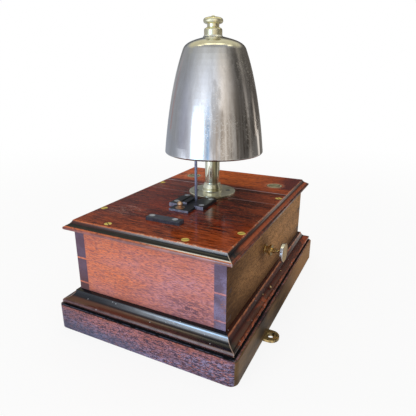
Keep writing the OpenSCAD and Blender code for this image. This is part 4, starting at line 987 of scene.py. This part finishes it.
# %% Steel and iron
BRIGHT_STEEL = metal((0.72, 0.73, 0.74), (0.5, 0.5, 0.52), 0.5, 0.25)
BLUED_STEEL = metal((0.30, 0.32, 0.46), (0.15, 0.16, 0.24), 0.6, 0.3, size=200, bare=0.7)
DARK_STEEL = metal((0.07, 0.08, 0.11), (0.03, 0.03, 0.04), 0.6, 0.4)
WORN_STEEL = metal((0.66, 0.69, 0.74), (0.30, 0.31, 0.34), 0.6, 0.3, size=260, bare=0.6)
SOFT_IRON = metal((0.33, 0.33, 0.34), (0.17, 0.16, 0.16), 0.6, 0.4)
finish("bright_steel", BRIGHT_STEEL, "crown_washer", "pivot_pin")
finish("blued_steel", BLUED_STEEL, "hammer_rod", "return_spring", spring)
finish("flange_screws", DARK_STEEL, "post_screws")
finish("worn_screws", WORN_STEEL, "fitting_screws", "base_screws", "armature_screws")
finish("soft_iron", SOFT_IRON, "armature", "magnet_cores")

# %% [markdown]
# ## The tapper's disc
# A signalman's finger wore the plating off the middle of this disc, so its face is tan brass and only
# the rim is still bright. The way the surface faces tells the two apart.


# %% Tapper disc
def disc_paint(at, facing):
    """A bright rim round a tan, finger-worn face."""
    rim = abs(facing.parts()[0]).rise(0.85, 0.5)
    cloud = at.noise(180, 180, 180, detail=4).rise(0.4, 0.62)
    face = mix(cloud, (0.80, 0.58, 0.30), (0.58, 0.38, 0.18))
    return {
        "Base Color": mix(rim, face, (0.62, 0.62, 0.63)),
        "Metallic": 0.6 + rim * 0.4,
        "Roughness": (1 - rim) * 0.12 + 0.22,
        "Height": cloud * 0.02,
    }


finish("tapper_disc", disc_paint, "plunger_knob")

# %% [markdown]
# ## Black japanned iron
# The rails, the slide and the stop bar are iron under black japan, a baked varnish. Where it faces the
# front it shows a grey-blue painted reflection. Japan isn't metal to the eye, so nothing here is metallic.


# %% Japanned iron
def japan_paint(at, facing):
    """Black varnish, with a grey-blue painted reflection where it faces the front."""
    wear = at.noise(500, 500, 500, detail=4, rough=0.7)
    # a grey-blue painted reflection on faces that look to the front
    painted_front_reflection = (facing.parts()[1] * -1).rise(0.5, 0.9)
    ground = mix(wear.rise(0.50, 0.72), (0.012, 0.013, 0.016), (0.050, 0.052, 0.065))
    front = mix(wear.rise(0.40, 0.62), (0.17, 0.19, 0.30), (0.40, 0.41, 0.54))
    return {
        "Base Color": mix(painted_front_reflection * 0.9, ground, front),
        "Roughness": wear * 0.3 + 0.2,
        "Specular IOR Level": 0.5,
        "Height": wear * 0.03,
    }


JAPANNED = ("guide_rail_left", "guide_rail_right", "slide_plate", "magnet_frame")
finish("black_japan", japan_paint, *JAPANNED, round=0.3)
BAR_JAPAN = metal((0.030, 0.033, 0.046), (0.11, 0.12, 0.17), 0.4, 0.25, size=420, bare=0.0)
finish("bar_japan", BAR_JAPAN, "stop_bar", round=0.3)

# %% [markdown]
# ## Insulators and wire
# Inside are the coils, wound with green silk covered wire, on bobbins of ebonite, and leads covered in
# cotton. The thousands of turns would be far too many faces. A sine along the coil draws them instead,
# in the colour and in the bump.


# %% Insulators and wire
def winding_paint(at, facing):
    """Green silk covered wire, laid turn by turn along the coil."""
    turn = (at.parts()[1] * 9000).maths("SINE")
    silk = mix(turn.rise(-1, 1), (0.03, 0.07, 0.035), (0.09, 0.19, 0.1))
    return {"Base Color": silk, "Roughness": 0.6, "Height": turn * 0.05}


def plain(shade, size, rough):
    """A paint function for one colour, with a sheen that varies a little."""
    return lambda at, facing: {"Base Color": shade, "Roughness": at.noise(size) * 0.2 + rough}


def cotton_paint(at, facing):
    """Drab cotton over the leads."""
    weave = at.noise(1500).rise(0.4, 0.6)
    return {"Base Color": mix(weave, (0.24, 0.2, 0.1), (0.12, 0.1, 0.05)), "Roughness": 0.8}


finish("silk_winding", winding_paint, "coil_windings")
finish("ebonite", plain((0.02, 0.018, 0.016), 200, 0.2), "coil_bobbins", "contact_block", "terminal_block")
finish("red_fibre", plain((0.3, 0.06, 0.04), 300, 0.5), "bell_washer")
finish("cotton_lead", cotton_paint, "leads")

# %% [markdown]
# ## Small brass pins
# Five pins hold the right-hand moulding. Only their heads are made, each a shallow dome 1.6 to 3 mm
# wide. A sphere cut in half would be too tall and too round. Here a dome is a grid of two angles: for
# the angle a from its top and t round it, a point lies at (sin a cos t, sin a sin t, 0.4 cos a) times
# the radius. One such grid is worked out once, then turned and moved to each pin.


# %% Pin heads
def pin_heads(places, rings=4, sides=12):
    """One mesh of domes. A place is a centre, the direction its dome faces and its radius in millimetres."""
    a = np.linspace(0, np.pi / 2, rings + 1)[:, None]
    t = np.linspace(0, 2 * np.pi, sides, endpoint=False)[None, :]
    grid = np.stack([np.sin(a) * np.cos(t), np.sin(a) * np.sin(t), 0.4 * np.cos(a) + 0 * t], axis=-1)
    dome = grid.reshape(-1, 3)
    ring, side = np.divmod(np.arange(rings * sides), sides)
    here, beside = ring * sides + side, ring * sides + (side + 1) % sides
    quads = np.stack([here, here + sides, beside + sides, beside], axis=-1)
    points, faces = [], []
    for i, (centre, direction, radius) in enumerate(places):
        turn = np.array(Vector(direction).to_track_quat("Z", "Y").to_matrix())
        points.append(dome * radius * MM @ turn.T + np.array(centre))
        faces.append(quads + i * len(dome))
    mesh = bpy.data.meshes.new("pins")
    mesh.from_pydata(np.concatenate(points).tolist(), [], np.concatenate(faces).tolist())
    work = bmesh.new()
    work.from_mesh(mesh)
    bmesh.ops.remove_doubles(work, verts=work.verts[:], dist=0.001 * MM)
    work.to_mesh(mesh)
    work.free()
    mesh.shade_smooth()
    made = bpy.data.objects.new("moulding_pins", mesh)
    bpy.context.scene.collection.objects.link(made)
    print(made.name, "has", len(mesh.vertices), "points")
    return made


# %% [markdown]
# Three pins are in the cove and two at the lip, and each direction is about that of the surface there.
# The places were set against the photograph and not on the solid. So those in the cove hang clear of it,
# the largest by 2 mm, and those at the lip are sunk in. A ray cast at the moulding would seat them.

# %% Pins
UPWARDS, ASLANT, OUTWARDS = (0.55, 0, 0.83), (0.75, 0, 0.66), (0.95, 0, 0.3)
PIN_PLACES = [
    ((0.1000, -0.0288, 0.0383), UPWARDS, 1.5),
    ((0.0972, -0.0486, 0.0381), ASLANT, 0.8),
    ((0.1043, -0.1130, 0.0334), OUTWARDS, 0.9),
    ((0.1046, -0.0790, 0.0334), OUTWARDS, 0.9),
    ((0.0990, 0.0175, 0.0372), UPWARDS, 0.8),
]
heads = pin_heads(PIN_PLACES)
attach(heads, "case")
finish("pin_brass", metal((0.8, 0.62, 0.34), (0.5, 0.34, 0.15), 0.4, 0.3), heads)

# %% [markdown]
# ## The room that metal shows
# The photograph was taken indoors. A polished bell draws that room: light to the camera's left, dark to
# its right. A picture of a room could be wrapped round the scene. A few smooth steps of the angle round
# the vertical do the same, and can be set one by one against what the bell shows.

# %% The room
CAMERA_SIDE, CAMERA_RIGHT = (0.4415, -0.897), (0.897, 0.4415)


def towards_camera(x, y):
    """How far a direction points to the camera's side of the object."""
    return x * CAMERA_SIDE[0] + y * CAMERA_SIDE[1]


def to_the_right(x, y):
    """How far a direction points to the camera's right."""
    return x * CAMERA_RIGHT[0] + y * CAMERA_RIGHT[1]


def room_turn(x, y):
    """The angle round the vertical from the camera's side, positive to its right."""
    return to_the_right(x, y).maths("ARCTAN2", towards_camera(x, y))


def room_light(turn):
    """How bright the room is all round: light to the camera's left, dark to its right."""
    light = turn.rise(1.2, 0.25) * (turn.rise(-1.8, -0.45) * 0.64 + 0.3) + 0.15
    return light + turn.rise(2.2, 3.0) * 0.1 + turn.near(1.6, 0.13) * 0.3


print("the camera's side is", CAMERA_SIDE)

# %% [markdown]
# ## Floor
# The floor is a pale matt card. The camera sees it nearly white, with the object's shadow on it, and
# quite white far off, so that it has no edge. What polished metal shows of it is as light or dark as the
# room on that side. Light Path tells the two kinds of ray apart, and no lamp is made stronger for it.


# %% Floor
def floor_paint():
    """A white matt surface, mixed with its own glow for the camera's rays and for glossy ones."""
    made = bpy.data.materials.new("floor")
    made.use_nodes = True
    tree = made.node_tree
    shader = tree.nodes["Principled BSDF"]
    shader.inputs["Base Color"].default_value = (0.9, 0.9, 0.9, 1)
    shader.inputs["Roughness"].default_value = 0.9
    x, y, _ = add_node(tree, "TexCoord", {}, out=3).parts()
    far = (x * x + y * y).maths("SQRT").rise(0.35, 1.3)
    path = add_node(tree, "LightPath", {}).socket.node
    by_camera, by_metal = Wire(tree, path.outputs["Is Camera Ray"]), Wire(tree, path.outputs["Is Glossy Ray"])
    turn = room_turn(x, y)
    lit = room_light(turn) + turn.near(-1.15, 0.7) * 0.9 + turn.near(2.2, 0.15) * 0.9
    tint = mix(turn.rise(-0.15, 0.5), (0.80, 0.87, 1.0), (1.0, 0.93, 0.84))
    glow = add_node(tree, "Emission", {0: mix(by_metal, (1, 1, 1), tint), 1: 1 + (lit - 1) * by_metal})
    seen = by_camera * (far * 0.13 + 0.87) + by_metal * (far * 0.12 + 0.83)
    both = add_node(tree, "MixShader", {0: seen, 1: Wire(tree, shader.outputs[0]), 2: glow})
    tree.links.new(both.socket, tree.nodes["Material Output"].inputs[0])
    return made


def lay_floor(half, drop):
    """One square that reaches half its width each way, a little below the object, as stage."""
    mesh = bpy.data.meshes.new("floor")
    corners = [(x * half, y * half, 0) for x, y in ((-1, -1), (1, -1), (1, 1), (-1, 1))]
    mesh.from_pydata(corners, [], [(0, 1, 2, 3)])
    mesh.materials.append(floor_paint())
    made = bpy.data.objects.new("floor", mesh)
    bpy.context.scene.collection.objects.link(made)
    made.location = (0, 0, -drop)
    print(made.name, 2 * half, "m across")


lay_floor(half=6, drop=0.2 * MM)

# %% [markdown]
# ## Lamps
# Three soft lamps light the object: a cool window to the camera's left, a warm strip high behind, and a
# faint ceiling. They are hidden from glossy rays, because what metal shows comes from the world, where
# its shape can be drawn. Each is given by the brightness of its face, so its size can change by itself.


# %% Lamps
def area(name, place, aim, size, level, tint=(1, 1, 1)):
    """A soft lamp. level is its face's brightness, 1 for white: its power is level times pi times area."""
    lamp = bpy.data.lights.new(name, "AREA")
    lamp.shape, lamp.size, lamp.size_y = "RECTANGLE", size[0], size[1]
    lamp.energy, lamp.color = level * math.pi * size[0] * size[1], tint
    made = bpy.data.objects.new(name, lamp)
    bpy.context.scene.collection.objects.link(made)
    made.location = place
    made.rotation_euler = (Vector(aim) - Vector(place)).to_track_quat("-Z", "Y").to_euler()
    made.visible_glossy = False
    print(name, "gives", round(lamp.energy, 2), "W")


area("window", (-0.44, -1.37, 0.36), (0, 0, 0.2), (0.8, 0.5), 4.5, (0.84, 0.93, 1.0))
area("ceiling_strip", (-0.25, 0.6, 1.5), (0, 0, 0.3), (1.1, 0.16), 3.5, (1.0, 0.93, 0.66))
area("ceiling", (0.1, -0.2, 1.9), (0, 0, 0.1), (1.6, 1.6), 0.5)

# %% [markdown]
# ## World
# For the camera, and for the light that falls on matt things, the world is an even white. What a
# polished surface shows of it is the same white as a room would dim it: walls by the angle, a curtain
# below, a window with a bar, a strip of light and a ceiling with one warm lamp in it.

# %% Rays of the world
world = bpy.data.worlds.new("studio")
world.use_nodes = True
bpy.context.scene.world = world
tree = world.node_tree
path = add_node(tree, "LightPath", {}).socket.node
is_camera = Wire(tree, path.outputs["Is Camera Ray"])
is_glossy = Wire(tree, path.outputs["Is Glossy Ray"])
is_through = Wire(tree, path.outputs["Is Transmission Ray"])
ray = add_node(tree, "TexCoord", {}, out=0)
ray_x, ray_y, ray_z = ray.parts()
right, towards = to_the_right(ray_x, ray_y), towards_camera(ray_x, ray_y)
turn = room_turn(ray_x, ray_y)
print("world", world.name, "is a formula of a ray's direction")

# %% [markdown]
# The walls and the curtain make the broad greys of the bell, and the window makes its one white patch.
# The window's upper edge is uneven, like the hem of a blind.

# %% Walls, window and strip
low = ray_z.rise(0.42, 0.12)
room = room_light(turn) * (1 - abs(turn).rise(2.3, 2.9) * ray_z.rise(0.05, 0.2) * 0.65)
curtain = ray.noise(9, 9, 0.7, detail=3, rough=0.6).rise(0.36, 0.64)
curtain_shade = low * curtain * turn.rise(-0.4, 0.7) * 0.5
room = room * (1 - curtain_shade) + turn.near(-0.62, 0.62) * ray_z.rise(0.6, 0.2) * 0.45
hem = ray.noise(11, 11, 4, detail=2) * 0.16
window_sides = turn.rise(-1.04, -0.86) * turn.rise(-0.40, -0.47)
window = window_sides * (ray_z + hem).rise(0.34, 0.26) * ray_z.rise(-0.14, -0.08)
window = window * (1 - turn.near(-0.60, 0.055) * 0.9)
strip = turn.near(2.1, 0.12) * ray_z.rise(0.2, 0.0) * 0.9
print("with walls, window and strip the world has", len(tree.nodes), "nodes")

# %% [markdown]
# The ceiling gives the bell's shoulder its light, and the lamp in it the pale arc on the crown. Behind
# the object the ceiling is warmer than above the camera.

# %% Ceiling
ceiling = ray_z.rise(0.48, 0.85).above(towards.rise(0.1, -0.3) * ray_z.rise(0.4, 0.65))
behind = towards.rise(0.15, -0.05)
beam = towards.near(0.02, 0.12) * ray_z.rise(0.66, 0.78) * right.rise(-0.72, -0.52) * right.rise(0.72, 0.52)
print("with the ceiling it has", len(tree.nodes))

# %% [markdown]
# Colour comes last. Daylight makes the left of the room bluish, and lamplight makes its right and the
# far ceiling yellow. The narrow bands of blue, red and orange stand for things in the room. Only glossy
# rays see any of it. All others meet white.

# %% Colours of the room
seen = layers(
    mix(turn.rise(-0.15, 0.5), (0.86, 0.91, 1.0), (1.0, 0.93, 0.85)),
    (turn.near(-0.27, 0.14) * low * 0.8, (0.35, 0.62, 1.0)),
    (turn.near(-1.4, 0.5) * low * 0.6, (0.74, 0.78, 1.0)),
    (turn.near(-2.3, 0.1) * low * 0.6, (1.0, 0.52, 0.45)),
    (turn.near(-2.62, 0.08) * low * 0.6, (1.0, 0.80, 0.50)),
    (ceiling, mix(behind, (0.95, 0.97, 1.0), (1.0, 0.95, 0.66))),
    (window, (0.48, 0.71, 1.0)),
    (beam, (1.0, 0.93, 0.60)),
    (curtain * low * turn.rise(-0.25, 0.1) * (1 - ceiling) * 0.7, (1.0, 0.84, 0.68)),
)
strength = (room + strip) * (1 - ceiling) + ceiling * (behind * 0.3 + 0.48) + window * 2.8 + beam * 2.2
strength = strength * is_glossy + (1 - is_glossy) * 0.62
strength = strength + (1 - strength) * is_camera.above(is_through)
background = tree.nodes["Background"]
tree.links.new(strength.socket, background.inputs["Strength"])
tree.links.new(mix(is_glossy, (1, 1, 1), seen).socket, background.inputs["Color"])
print("with its colours it has", len(tree.nodes), "and the camera still sees it white")

# %% [markdown]
# ## Camera
# The camera stands where the photographer held theirs. The place was worked out from the straight edges
# of the case: all lines along the width meet at one vanishing point and all lines along the depth at
# another, which gives the lens and the angles. The tiny roll is the tilt of the hand.

# %% Camera
YAW, PITCH, ROLL = math.radians(26.22), math.radians(19.11), math.radians(-0.12)
CAMERA_PLACE = (0.2132, -0.4272, 0.2776)
LENS, SENSOR = 33.97, 36
camera = bpy.data.objects.new("camera", bpy.data.cameras.new("camera"))
bpy.context.scene.collection.objects.link(camera)
camera.data.lens, camera.data.sensor_width = LENS, SENSOR
camera.location = CAMERA_PLACE
camera.rotation_euler = Euler((math.pi / 2 - PITCH, ROLL, YAW), "XYZ")
camera.data.clip_start = 0.01
bpy.context.scene.camera = camera
bpy.context.scene.view_settings.view_transform = "Standard"
print("camera at", CAMERA_PLACE, "with a", LENS, "mm lens")

# %% [markdown]
